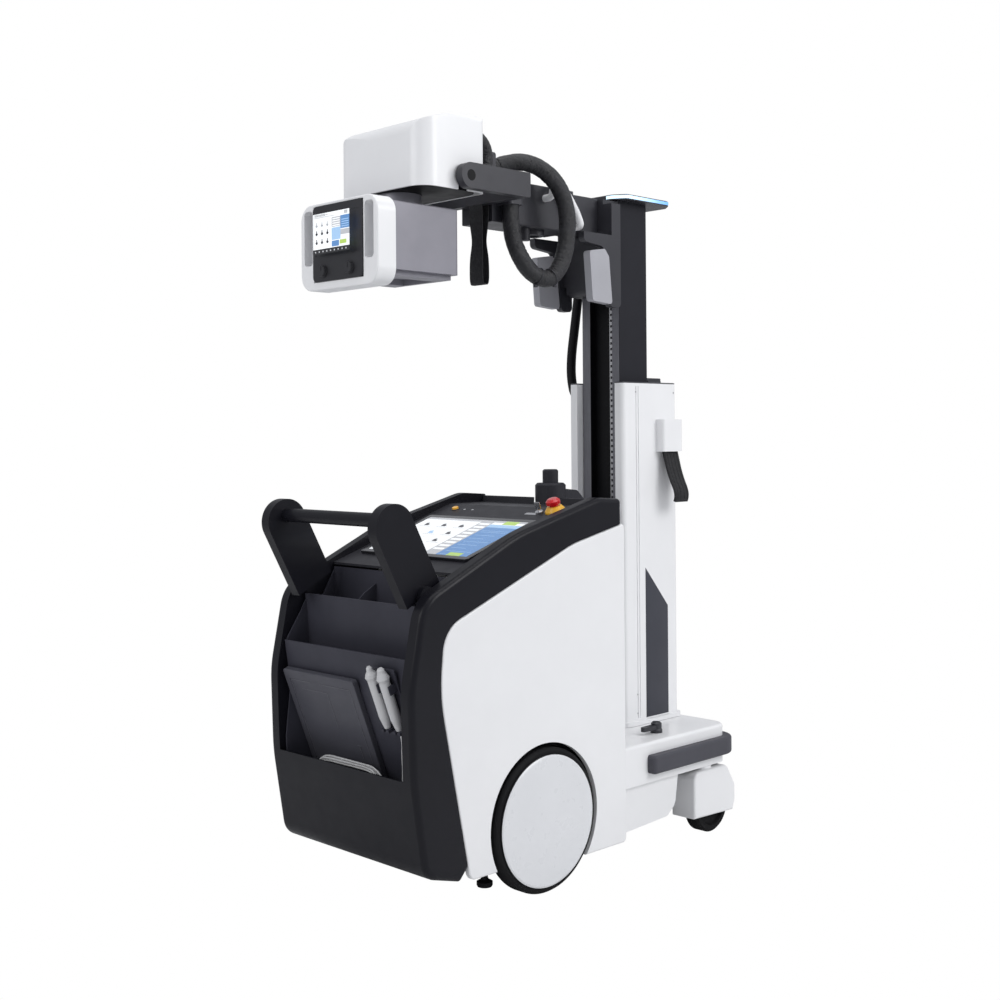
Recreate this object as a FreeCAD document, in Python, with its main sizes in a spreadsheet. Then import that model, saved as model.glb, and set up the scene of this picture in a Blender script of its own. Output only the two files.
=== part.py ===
import FreeCAD, Part
import math
import os
import Sketcher

# A mobile x-ray machine: a motor-driven cart with a touch console and storage bins at the
# operator's end, and a turning, telescoping column that carries the tube head on an arm.
# X points forwards, from the operator's handle to the column; Y points left and Z up.
# Every x below is measured from the drive axle, and the whole model is then moved so that
# its origin lies on the floor, in the middle of its length and width.

# Driving dimensions, in millimetres and degrees
SIZES = {
    # Overall reach from the drive axle
    "rear_reach": 495, "front_reach": 798,
    # Body covers
    "body_width": 555, "cover_wall": 14, "cheek_width": 37.5, "reveal": 2,
    "cover_front": 311, "cover_front_top": 905, "cover_shoulder": 335,
    "cover_shoulder_top": 690, "cover_rear": 350, "cover_rear_height": 540,
    "cover_tail": 258, "cover_hem": 88, "cover_front_hem": 60, "arch_radius": 192,
    "rim_front": 301, "rim_top": 970, "rim_crest": 212, "rim_knee": 90, "rim_knee_top": 899,
    "rear_crown": 398, "rear_crown_top": 760, "rear_bulge": 440, "rear_bulge_height": 555,
    "rear_face": 434, "rear_face_height": 345, "rear_toe": 398, "rear_toe_height": 122,
    # Drive wheels
    "wheel_radius": 180, "tyre_wall": 20, "tyre_width": 44, "tyre_side": 283,
    "cap_radius": 164, "cap_face": 289.5, "hub_radius": 46, "hub_end": 232,
    "motor_radius": 56, "motor_length": 132,
    # Casters
    "caster_x": 680, "caster_y": 237, "caster_trail": 29, "caster_radius": 75,
    "caster_width": 46, "shroud_front": 87, "shroud_rear": 104, "shroud_width": 84,
    "shroud_top": 188, "shroud_hem": 52, "stem_radius": 18, "fork_gap": 3,
    # Chassis
    "pan_bottom": 100, "plate": 6, "pan_rear": 250, "bed_bottom": 196, "bed_top": 222,
    "front_plate": 14, "post_top": 797, "inner_width": 480,
    # Front base
    "skirt_front": 545, "skirt_width": 520, "skirt_bottom": 82, "deck_seam": 196.5,
    "deck_top": 305, "deck_front": 775, "deck_width": 544, "deck_wall": 8, "deck_corner": 45,
    "bumper_rear": 406, "bumper_bottom": 222, "bumper_height": 50, "bumper_thick": 26,
    # Storage
    "lip_low": 347, "panel_wall": 6, "bin_wall": 4, "lean": 21, "bin_floor": 195,
    "lip_middle": 625, "lip_high": 738, "bin_back": 256, "bin_back_top": 800,
    "back_wall_x": 400, "back_wall_z": 525, "detector_foot": 290,
    # Console
    "deck_rear_x": 258, "deck_rear_z": 811, "deck_level_x": 158, "deck_level_z": 948,
    "deck_sheet": 6, "screen_length": 266, "screen_width": 410, "screen_thick": 8,
    "screen_x": 70, "strip_x": 120, "button_radius": 9, "button_height": 6, "power_y": 176,
    "key_y": 148, "stop_x": 134, "stop_y": 192, "stop_radius": 27, "stop_height": 16,
    "mushroom_radius": 19, "dock_x": 320, "dock_radius": 43, "dock_top": 1006,
    "dock_pin_top": 1044, "dock_reach": 112,
    # Handle
    "handle_half": 209, "handle_thick": 30, "handle_radius": 57.5, "handle_top_z": 927,
    "handle_foot_x": 352, "handle_foot_z": 765, "bar_radius": 17, "bar_z": 944,
    # Column
    "column_x": 636, "column_front": 122, "column_back": 121, "column_width": 210,
    "column_wall": 32.7, "column_top": 1291, "foot_gap": 1, "foot_thick": 12, "foot_margin": 12,
    "spigot_radius": 85, "ring_radius": 115, "spigot_length": 66, "run": 0.05,
    # Mast
    "mast_front": 99, "mast_back": 27, "mast_width": 144, "mast_bottom": 835, "mast_top": 1812,
    "mast_wall": 8, "channel_depth": 23, "channel_low": 44, "channel_high": 40,
    "rack_width": 12.7, "rack_depth": 19, "rack_pitch": 16.5, "rack_hole": 7,
    "cap_thick": 16, "cap_front": 124, "cap_back": 118, "cap_width": 212,
    # Carriage and arm
    "slide_gap": 0.3, "carriage_depth": 67, "carriage_bottom": 1540, "carriage_top": 1808,
    "arm_top": 1820, "arm_bottom": 1703, "arm_half": 58, "arm_wall": 7, "stage_gap": 0.3,
    "arm_face": 43.5, "arm_nose": 31.5, "arm_rear": 360, "beam_front": 160, "beam_wall": 6,
    "spar_front": 130, "spar_rear": 480, "spar_headroom": 12, "spindle": 30,
    "spindle_length": 28, "socket_x": 250, "socket_radius": 36, "hoop_radius": 10,
    "cheek_half": 104, "cheek_thick": 20, "leg_bottom": 1500, "roll_z": 1776,
    # Yoke
    "yoke_half": 200, "yoke_thick": 24, "yoke_height": 63, "yoke_front": 43, "yoke_back": 14,
    "pivot_x": 165, "pivot_z": 1778, "trunnion_radius": 14,
    # Tube head
    "head_half": 170, "head_rear": 300, "head_front": 87, "head_bottom": 1745,
    "head_top": 1941, "head_rear_top": 1902, "head_wall": 5, "tube_radius": 66,
    # Collimator and display
    "beam_x": 225, "box_rear": 366, "box_front": 142, "box_half": 128, "box_top": 1705,
    "box_bottom": 1540, "neck_radius": 55, "frame_rear": 422, "frame_half": 150,
    "frame_bottom": 1500, "frame_top": 1713, "frame_bar": 15, "centre_half": 102,
    "panel_half": 97, "panel_bottom": 1519, "panel_top": 1706, "panel_proud": 4,
    "knob_radius": 15, "knob_height": 10, "knob_spread": 52, "knob_z": 1544,
    # Cords and straps
    "sleeve_radius": 23, "short_sleeve_radius": 17, "supply_radius": 14, "switch_cord": 2.5,
    "coil_radius": 11,
    # Hand items
    "detector_width": 284, "detector_height": 328, "detector_thick": 15,
    "switch_radius": 13, "switch_length": 158, "switch_x": 392, "switch_z": 452,
    "switch_right_y": 180, "switch_left_y": 138,
}

doc = FreeCAD.newDocument("MobileXrayMachine")
sheet = doc.addObject("Spreadsheet::Sheet", "Sizes")
for row, (size_name, size_value) in enumerate(SIZES.items(), 1):
    sheet.set(f"A{row}", size_name)
    sheet.set(f"B{row}", str(size_value))
    sheet.setAlias(f"B{row}", size_name)
doc.recompute()

Vector = FreeCAD.Vector
NODES = {}


class Size:
    """A length or angle: its number now, and the sheet formula that keeps it up to date."""

    def __init__(self, value, formula):
        self.value = value
        self.formula = formula

    def joined(self, other, sign, value):
        return Size(value, f"({self.formula} {sign} {as_size(other).formula})")

    def __add__(self, other):
        return self.joined(other, "+", self.value + as_size(other).value)

    def __sub__(self, other):
        return self.joined(other, "-", self.value - as_size(other).value)

    def __mul__(self, other):
        return self.joined(other, "*", self.value * as_size(other).value)

    def __truediv__(self, other):
        return self.joined(other, "/", self.value / as_size(other).value)

    def __radd__(self, other):
        return as_size(other) + self

    def __rsub__(self, other):
        return as_size(other) - self

    def __rmul__(self, other):
        return as_size(other) * self

    def __neg__(self):
        return Size(-self.value, f"(0 - {self.formula})")


def as_size(number):
    return number if isinstance(number, Size) else Size(float(number), f"({float(number)})")


class Sheet:
    """Reads a driving dimension by its name."""

    def __getattr__(self, name):
        return Size(SIZES[name], "Sizes." + name)


d = Sheet()
axle = (d.rear_reach - d.front_reach) / 2
half = d.body_width / 2


def bind(thing, prop, size):
    thing.setExpression(prop, as_size(size).formula)


def place(thing, x=0, y=0, z=0, turn=None):
    """Puts a piece at a point measured from the axle, floor and middle, turned if asked."""
    if turn:
        axis, angle = turn
        thing.Placement = FreeCAD.Placement(Vector(), FreeCAD.Rotation(Vector(*axis), angle.value))
        bind(thing, "Placement.Rotation.Angle", angle)
    bind(thing, "Placement.Base.x", axle + x)
    bind(thing, "Placement.Base.y", y)
    bind(thing, "Placement.Base.z", z)
    return thing


def node(thing, label):
    thing.Label = label
    NODES[label] = thing
    return thing


# Part design helpers

PLANES = {"x": ("YZ_Plane", 1), "y": ("XZ_Plane", -1), "z": ("XY_Plane", 1)}


def new_body(label):
    body = doc.addObject("PartDesign::Body", label)
    body.Label = label
    return body


def sketch_on(body, axis, at):
    """A sketch square to an axis; its u, v are (y, z), (x, z) or (x, y)."""
    role, way = PLANES[axis]
    plane = [f for f in body.Origin.OriginFeatures if f.Role == role][0]
    sketch = body.newObject("Sketcher::SketchObject", "Sketch")
    sketch.AttachmentSupport = [(plane, "")]
    sketch.MapMode = "FlatFace"
    bind(sketch, "AttachmentOffset.Base.z", as_size(at) * way)
    return sketch


def held(sketch, kind, geometry, point, size):
    """Ties a sketch point's distance from the origin to a sheet formula."""
    size = as_size(size)
    link = Sketcher.Constraint(kind, -1, 1, geometry, point, size.value)
    index = sketch.addConstraint(link)
    sketch.setExpression(f"Constraints[{index}]", size.formula)


def draw(sketch, shape):
    """Draws circles, given as (u, v, radius), or a closed outline of (u, v) corners."""
    if len(shape[0]) == 3:
        for u, v, radius in shape:
            u, v, radius = as_size(u), as_size(v), as_size(radius)
            centre = Vector(u.value, v.value, 0)
            ring = sketch.addGeometry(Part.Circle(centre, Vector(0, 0, 1), radius.value))
            held(sketch, "DistanceX", ring, 3, u)
            held(sketch, "DistanceY", ring, 3, v)
            index = sketch.addConstraint(Sketcher.Constraint("Radius", ring, radius.value))
            sketch.setExpression(f"Constraints[{index}]", radius.formula)
        return
    corners = [(as_size(u), as_size(v)) for u, v in shape]
    spots = [Vector(u.value, v.value, 0) for u, v in corners]
    for i, spot in enumerate(spots):
        sketch.addGeometry(Part.LineSegment(spot, spots[(i + 1) % len(spots)]))
    for i in range(len(spots)):
        sketch.addConstraint(Sketcher.Constraint("Coincident", i, 2, (i + 1) % len(spots), 1))
    for i, (u, v) in enumerate(corners):
        held(sketch, "DistanceX", i, 1, u)
        held(sketch, "DistanceY", i, 1, v)


def rect(u_low, u_high, v_low, v_high):
    return [(u_low, v_low), (u_high, v_low), (u_high, v_high), (u_low, v_high)]


def prism(body, axis, shape, low, high):
    """A pad along an axis, from low to high."""
    low, high = as_size(low), as_size(high)
    sketch = sketch_on(body, axis, low if PLANES[axis][1] > 0 else high)
    draw(sketch, shape)
    pad = body.newObject("PartDesign::Pad", "Pad")
    pad.Profile = sketch
    bind(pad, "Length", high - low)
    return pad


def cutout(body, axis, shape, low, high):
    """A pocket along an axis, from low to high."""
    low, high = as_size(low), as_size(high)
    sketch = sketch_on(body, axis, high if PLANES[axis][1] > 0 else low)
    draw(sketch, shape)
    pocket = body.newObject("PartDesign::Pocket", "Pocket")
    pocket.Profile = sketch
    bind(pocket, "Length", high - low)
    return pocket


def turned(body, axis, profile):
    """A revolved piece about its own axis; the profile is (along, radius) corners."""
    plane = {"x": "y", "y": "z", "z": "y"}[axis]
    sketch = sketch_on(body, plane, 0)
    draw(sketch, [(a, r) if axis == "x" else (r, a) for a, r in profile])
    spin = body.newObject("PartDesign::Revolution", "Revolution")
    spin.Profile = sketch
    spin.ReferenceAxis = (sketch, ["H_Axis" if axis == "x" else "V_Axis"])
    spin.Angle = 360
    return spin


def parallel(axis, where=None):
    """Picks straight edges along an axis, at mid points that where accepts."""
    def pick(edge):
        box = edge.BoundBox
        lengths = {"x": box.XLength, "y": box.YLength, "z": box.ZLength}
        own = lengths.pop(axis)
        if own < 0.01 or max(lengths.values()) > 0.001:
            return False
        return where is None or where(box.Center)
    return pick


def level(height):
    """Picks every edge that lies at one height."""
    height = as_size(height).value
    return lambda edge: abs(edge.BoundBox.ZMin - height) < 0.01 and edge.BoundBox.ZLength < 0.01


def soften(body, radius, pick, kind="Fillet"):
    """Fillets or chamfers the picked edges."""
    doc.recompute()
    tip = body.Tip
    names = [f"Edge{n}" for n, edge in enumerate(tip.Shape.Edges, 1) if pick(edge)]
    feature = body.newObject("PartDesign::" + kind, kind)
    feature.Base = (tip, names)
    bind(feature, "Radius" if kind == "Fillet" else "Size", radius)
    return feature


def mirrored(source, label):
    twin = doc.addObject("Part::Mirroring", label)
    twin.Source = source
    twin.Normal = Vector(0, 1, 0)
    return node(twin, label)


def grouped(label, pieces):
    group = doc.addObject("Part::Compound", label)
    group.Links = pieces
    return node(group, label)


# Free-form helpers, for shells and cords

def shaped(label, shape):
    thing = doc.addObject("Part::Feature", label)
    thing.Shape = shape
    place(thing)
    return node(thing, label)


def at(x, y, z):
    return Vector(*(as_size(n).value for n in (x, y, z)))


def rounded(corners, y=0.0):
    """A closed wire in the x-z plane at y; corners are (x, z, radius)."""
    spots = [at(x, y, z) for x, z, _ in corners]
    edges, ends = [], []
    for i, (_, _, radius) in enumerate(corners):
        spot, before, after = spots[i], spots[i - 1], spots[(i + 1) % len(spots)]
        back, on = (before - spot).normalize(), (after - spot).normalize()
        radius = as_size(radius).value
        turn = back.getAngle(on)
        if radius < 0.01 or turn > math.pi - 0.001:
            ends.append((spot, spot))
            continue
        run = radius / math.tan(turn / 2)
        middle = (back + on).normalize()
        centre = spot + middle * (radius / math.sin(turn / 2))
        start, end = spot + back * run, spot + on * run
        edges.append(Part.Arc(start, centre - middle * radius, end).toShape())
        ends.append((start, end))
    for i, (_, end) in enumerate(ends):
        start = ends[(i + 1) % len(ends)][0]
        if end.distanceToPoint(start) > 0.001:
            edges.append(Part.LineSegment(end, start).toShape())
    return Part.Wire(Part.__sortEdges__(edges))


def slab(corners, low, high):
    """A rounded x-z outline, run across from y = low to y = high."""
    low, high = as_size(low).value, as_size(high).value
    return Part.Face(rounded(corners, low)).extrude(Vector(0, high - low, 0))


def block(x_low, x_high, y_low, y_high, z_low, z_high):
    low, high = at(x_low, y_low, z_low), at(x_high, y_high, z_high)
    size = high - low
    return Part.makeBox(size.x, size.y, size.z, low)


def ribbon(points, thick, low, high):
    """A bent wall along x-z points, thick on its right-hand side, run across from low to high."""
    spots = [at(x, 0, z) for x, z in points]
    thick = as_size(thick).value
    ways = [(b - a).normalize() for a, b in zip(spots, spots[1:])]
    sides = [Vector(way.z, 0, -way.x) for way in ways]
    offset = [spots[0] + sides[0] * thick]
    for i in range(1, len(sides)):
        middle = sides[i - 1] + sides[i]
        offset.append(spots[i] + middle * (2 * thick / middle.Length ** 2))
    offset.append(spots[-1] + sides[-1] * thick)
    return slab([(spot.x, spot.z, 0) for spot in spots + offset[::-1]], low, high)


def cord(points, radius, name):
    """A tube along straight runs joined by arcs as large as the runs allow."""
    spots = [at(*point) for point in points]
    radius = as_size(radius).value
    edges, start, bends = [], spots[0], []
    for i in range(1, len(spots) - 1):
        back, on = spots[i - 1] - spots[i], spots[i + 1] - spots[i]
        reach = 0.45 * min(back.Length, on.Length)
        back.normalize()
        on.normalize()
        half_turn = (math.pi - back.getAngle(on)) / 2
        bend = reach / math.tan(half_turn)
        bends.append(round(bend / radius / 2, 1))
        into, out = spots[i] + back * reach, spots[i] + on * reach
        middle = (back + on).normalize()
        crest = spots[i] + middle * (bend / math.cos(half_turn) - bend)
        edges.append(Part.LineSegment(start, into).toShape())
        edges.append(Part.Arc(into, crest, out).toShape())
        start = out
    edges.append(Part.LineSegment(start, spots[-1]).toShape())
    path = Part.Wire(edges)
    ring = Part.Wire(Part.makeCircle(radius, spots[0], spots[1] - spots[0]))
    tube = path.makePipeShell([ring], True, False)
    expected = math.pi * radius ** 2 * path.Length
    print(f"{name}: {path.Length:.0f} mm, bends in diameters {bends},",
          f"volume {tube.Volume / expected:.3f} of section times length")
    return tube


# Body covers

def cover_outline():
    return [(d.cover_front, d.cover_front_top, 10), (110, 862, 300),
            (-d.cover_shoulder, d.cover_shoulder_top, 85),
            (-d.cover_rear, d.cover_rear_height, 400), (-d.cover_tail, d.cover_hem, 22),
            (0, d.cover_hem, 0), (0, d.cover_front_hem, 0), (d.cover_front, d.cover_front_hem, 14)]


def rim_outline():
    return [(d.rim_front, d.rim_top, 10), (d.rim_crest, d.rim_top + 6, 80),
            (-d.rim_knee, d.rim_knee_top, 500), (-d.rear_crown, d.rear_crown_top, 95),
            (-d.rear_bulge, d.rear_bulge_height, 300), (-d.rear_face, d.rear_face_height, 500),
            (-d.rear_toe, d.rear_toe_height, 50), (-d.cover_tail - 30, d.cover_hem + 4, 6),
            (-d.cover_tail + 60, d.cover_hem + 100, 0), (d.cover_front - 60, 780, 0),
            (d.rim_front, d.cover_front_top - 60, 0)]


def make_side_covers():
    """Two moulded side shells with wheel arches, returned round the front of the body."""
    inner = half - d.cover_wall
    shell = slab(cover_outline(), -half, -inner)
    outer_edges = [e for e in shell.Edges if e.BoundBox.YMax < -half.value + 0.01]
    shell = shell.makeFillet(5, outer_edges)
    arch = Part.makeCylinder(d.arch_radius.value, 60, at(0, -half - 20, d.wheel_radius),
                             Vector(0, 1, 0))
    shell = shell.cut(arch)
    wrap = block(d.cover_front - d.cover_wall, d.cover_front, -inner - 1, -60,
                 d.bed_top + 0.5, d.cover_front_top - 10)
    rib = block(-150, 250, -inner, -inner + 8, 560, 566)
    right = shaped("side_cover_right", shell.fuse([wrap, rib]).removeSplitter())
    mirrored(right, "side_cover_left")


def make_rear_cheeks():
    """The dark band that frames the console and the bins, one moulding on each side."""
    inner = half - d.cheek_width
    band = slab(rim_outline(), -half, -inner)
    gap = d.reveal.value
    hole = Part.Face(rounded(cover_outline(), -half.value - 5)).makeOffset2D(gap)
    band = band.cut(hole.extrude(Vector(0, d.cheek_width.value + 10, 0)))
    band = max(band.Solids, key=lambda solid: solid.Volume)
    rear = [e for e in band.Edges if e.BoundBox.YMax < -half.value + 0.01
            and not near_cover(e.valueAt((e.FirstParameter + e.LastParameter) / 2), gap)]
    band = band.makeFillet(14, rear)
    right = shaped("rear_cheek_right", band)
    mirrored(right, "rear_cheek_left")


def near_cover(point, gap):
    """Whether a point lies on the cheek's inner boundary, along the white cover."""
    wire = rounded(cover_outline(), point.y)
    return wire.distToShape(Part.Vertex(point))[0] < gap + 3


def make_lower_panel():
    """The front wall of the lowest bin, curved under to the floor of the body."""
    across = half - d.cheek_width
    outer = Part.Face(rounded(rim_outline(), -across.value))
    inner = outer.makeOffset2D(-d.panel_wall.value)
    shell = outer.cut(inner).extrude(Vector(0, 2 * across.value, 0))
    zone = block(-d.rear_bulge - 20, -d.cover_tail - 2, -across, across, 0, d.lip_low)
    panel = shell.common(zone)
    panel = max(panel.Solids, key=lambda solid: solid.Volume)
    shaped("lower_rear_panel", panel)


def make_storage_bin():
    """Three stepped pockets in one moulding: walls, floors, ends and dividers."""
    wall, across = d.bin_wall, d.inner_width / 2 - 4
    tan_lean = math.tan(math.radians(d.lean.value))
    top_x, top_z = d.back_wall_x.value * -1, d.back_wall_z.value
    foot_z = d.bin_floor.value
    foot_x = top_x + (top_z - foot_z) * tan_lean
    runs = [[(-d.bin_back, d.bin_back_top), (-d.bin_back, 640), (-345, 640)],
            [(-350, d.lip_high), (-335, top_z), (top_x - 1.5, top_z)],
            [(-415, d.lip_middle), (top_x, top_z), (foot_x, foot_z), (-401, foot_z)]]
    walls = [ribbon(run, wall, -across, across) for run in runs]
    foot = d.detector_foot + 0.3
    rest = [leaning(foot, wall + d.detector_thick + 4), leaning(foot, 2)]
    ledge = ribbon(rest, 6, -60, across)
    ends = []
    outline = [(-d.bin_back, d.bin_back_top, 0), (-d.bin_back, 640, 0), (-300, 500, 0),
               (foot_x, foot_z, 0), (-404, foot_z, 0), (-414, 300, 0), (-418, 380, 0),
               (-404, 500, 0), (-416, d.lip_middle, 30), (-372, 690, 20), (-350, 728, 10),
               (-300, 728, 10)]
    for side in (-1, 1):
        low, high = sorted((side * across.value, side * (across.value - 4)))
        ends.append(slab(outline, low, high))
    dividers = [slab([(-d.bin_back, 640, 0), (-343, 640, 0), (-348, 705, 12), (-300, 745, 12),
                      (-d.bin_back, 770, 0)], y, y + 3) for y in (-88, 62)]
    bin_shape = walls[0].fuse(walls[1:] + ends + dividers + [ledge] + switch_holder())
    shaped("storage_bin", bin_shape.removeSplitter())


def leaning(down, back):
    """A point (x, z) below the top of the leaning bin wall, and back from its front face."""
    angle = math.radians(d.lean.value)
    sine, cosine = Size(math.sin(angle), "sin(Sizes.lean)"), Size(math.cos(angle), "cos(Sizes.lean)")
    return (down * sine - back * cosine - d.back_wall_x,
            d.back_wall_z - down * cosine - back * sine)


def switch_holder():
    """A leaning back plate, a fork for each hand switch and a slotted shelf under it."""
    radius = d.switch_radius.value
    left, right = -d.switch_left_y.value, -d.switch_right_y.value
    pieces = [leaning_block(84, 150, radius + 4, radius + 8, right - 24, left + 24)]
    for y in (right, left):
        for side in (-1, 1):
            low, high = sorted((y + side * (radius + 1.5), y + side * (radius + 4.5)))
            pieces.append(leaning_block(96, 118, -6, radius + 6, low, high))
        shelf = leaning_block(-8, -0.5, -12, radius + 4, y - 14, y + 14)
        pieces.append(shelf.cut(leaning_block(-9, 1, -13, 4, y - 4, y + 4)))
    return pieces


def leaning_block(u_low, u_high, w_low, w_high, y_low, y_high):
    """A block in the hand switches' leaning frame: u up along them, w forwards from their axis."""
    piece = Part.makeBox(w_high - w_low, y_high - y_low, u_high - u_low,
                         Vector(w_low, y_low, u_low))
    piece.rotate(Vector(), Vector(0, -1, 0), d.lean.value)
    piece.translate(at(-d.switch_x, 0, d.switch_z))
    return piece


def make_console():
    """The sloping console deck, level at the front, with its raised front rim."""
    across = half - d.cheek_width - 0.3
    sheet_z = d.deck_sheet
    profile = [(-d.deck_rear_x, d.deck_rear_z, 0), (d.deck_level_x, d.deck_level_z, 20),
               (286, d.deck_level_z, 0), (288, d.rim_top - 4, 2), (d.rim_front - 4, d.rim_top - 4, 2),
               (d.rim_front - 4, 902, 0), (290, 902, 0), (286, d.deck_level_z - sheet_z, 0),
               (d.deck_level_x, d.deck_level_z - sheet_z, 20),
               (-d.deck_rear_x, d.deck_rear_z - sheet_z, 0)]
    deck = slab(profile, -across, across)
    notch = Part.makeCylinder(d.dock_radius.value + 4, 60, at(d.dock_x, 0, d.deck_level_z))
    well = Part.makeCylinder(d.button_radius.value + 0.3, 20, Vector(0, 0, -12))
    well.rotate(Vector(), Vector(0, -1, 0), slope().value)
    well.translate(at(d.strip_x, d.power_y, slope_height(d.strip_x)))
    deck = deck.cut([notch, well])
    shaped("console_deck", deck)


def slope():
    """The console deck's angle, as a size."""
    rise, run = d.deck_level_z - d.deck_rear_z, d.deck_level_x + d.deck_rear_x
    angle = math.degrees(math.atan2(rise.value, run.value))
    return Size(angle, f"atan2({rise.formula}; {run.formula})")


def slope_height(x):
    """The console slope's height at x."""
    rise = (d.deck_level_z - d.deck_rear_z) / (d.deck_level_x + d.deck_rear_x)
    return d.deck_rear_z + rise * (d.deck_rear_x + x)


def on_deck(thing, x, y):
    """Stands a piece on the console's slope, square to it."""
    return place(thing, x, y, slope_height(x), turn=((0, -1, 0), slope()))


def make_touch_screen():
    body = new_body("touch_screen")
    long, wide = d.screen_length / 2, d.screen_width / 2
    prism(body, "z", rect(-long, long, -wide, wide), 0.3, d.screen_thick)
    soften(body, 8, parallel("z"))
    soften(body, 1.5, level(d.screen_thick))
    cutout(body, "z", rect(-long + 16, long - 16, -wide + 14, wide - 14),
           d.screen_thick - 0.8, d.screen_thick)
    on_deck(body, -d.screen_x, 0)
    node(body, "touch_screen")


def make_console_controls():
    """The power button, key switch and emergency stop above the screen."""
    button = new_body("power_button")
    turned(button, "z", [(-3, 0), (-3, d.button_radius), (d.button_height - 1, d.button_radius),
                         (d.button_height, d.button_radius - 1), (d.button_height, 0)])
    on_deck(button, d.strip_x, d.power_y)
    node(button, "power_button")

    key = new_body("key_switch")
    turned(key, "z", [(0.3, 0), (0.3, 11), (5, 11), (6, 10), (6, 0)])
    prism(key, "y", rect(-2, 2, 6, 12), -2, 2)
    prism(key, "x", rect(-9, 9, 11, 30), -1.2, 1.2)
    on_deck(key, d.strip_x, -d.key_y)
    node(key, "key_switch")

    base = new_body("stop_base")
    low, wide, top = 0.3, d.stop_radius, d.stop_height
    turned(base, "z", [(low, 12.2), (low, wide), (5, wide), (top, wide - 8), (top, 12.2)])
    on_deck(base, d.stop_x, -d.stop_y)
    node(base, "stop_base")

    stop = new_body("stop_button")
    wide, reach = d.mushroom_radius, d.stop_height + 6
    turned(stop, "z", [(7, 0), (7, 12), (reach, 12), (reach, wide), (reach + 8, wide),
                       (reach + 14, wide - 6), (reach + 15, 0)])
    on_deck(stop, d.stop_x, -d.stop_y)
    node(stop, "stop_button")


def make_dock_post():
    """The parking post that the arm's socket comes down on, on a bracket over the rim."""
    post = new_body("dock_post")
    wide = d.dock_radius
    foot = d.deck_level_z + 0.3
    front = d.cover_front - d.dock_x + 0.3
    turned(post, "z", [(foot, 0), (foot, wide), (d.dock_top - 6, wide), (d.dock_top, wide - 6),
                       (d.dock_top, 22), (d.dock_pin_top - 4, 22), (d.dock_pin_top, 18),
                       (d.dock_pin_top, 0)])
    reach = d.dock_reach
    prism(post, "y", [(front, foot), (front, 800), (front + 24, 800), (front + 60, 880),
                      (reach, 918), (reach, 954), (reach - 34, 984), (0, 992), (0, foot)], -30, 30)
    soften(post, 16, parallel("y", lambda c: c.x > 70 and c.z > 900))
    place(post, d.dock_x, 0, 0)
    node(post, "dock_post")


def make_handle():
    """Two flat arms on bosses, and the round bar between them."""
    reach = d.rear_reach - d.handle_radius
    arms = []
    for side in (-1, 1):
        arm = new_body("handle_arm")
        inner, outer = d.handle_half - d.handle_thick / 2, d.handle_half + d.handle_thick / 2
        low, high = (-outer, -inner) if side < 0 else (inner, outer)
        prism(arm, "y", [(-reach, d.handle_top_z, d.handle_radius)], low, high)
        run = d.handle_foot_x - reach
        rise = d.handle_foot_z - d.handle_top_z
        length = math.hypot(run.value, rise.value)
        long = Size(length, f"sqrt({run.formula} ^ 2 + {rise.formula} ^ 2)")
        u, v = rise / long * d.handle_radius, run / long * d.handle_radius
        prism(arm, "y", [(-reach + u, d.handle_top_z + v), (-d.handle_foot_x + u, d.handle_foot_z + v),
                         (-d.handle_foot_x - u, d.handle_foot_z - v), (-reach - u, d.handle_top_z - v)],
              low, high)
        wall = half - d.cheek_width - 0.3
        ends = (-wall, -outer + 2) if side < 0 else (outer - 2, wall)
        prism(arm, "y", [(-d.handle_foot_x, d.handle_foot_z, 24)], *ends)
        place(arm)
        arms.append(arm)
    bar = new_body("handle_bar")
    inner = d.handle_half - d.handle_thick / 2
    turned(bar, "y", [(-inner, 0), (-inner, d.bar_radius), (inner, d.bar_radius), (inner, 0)])
    place(bar, -reach, 0, d.bar_z)
    grouped("handle", arms + [bar])


# Chassis and what it carries

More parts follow.
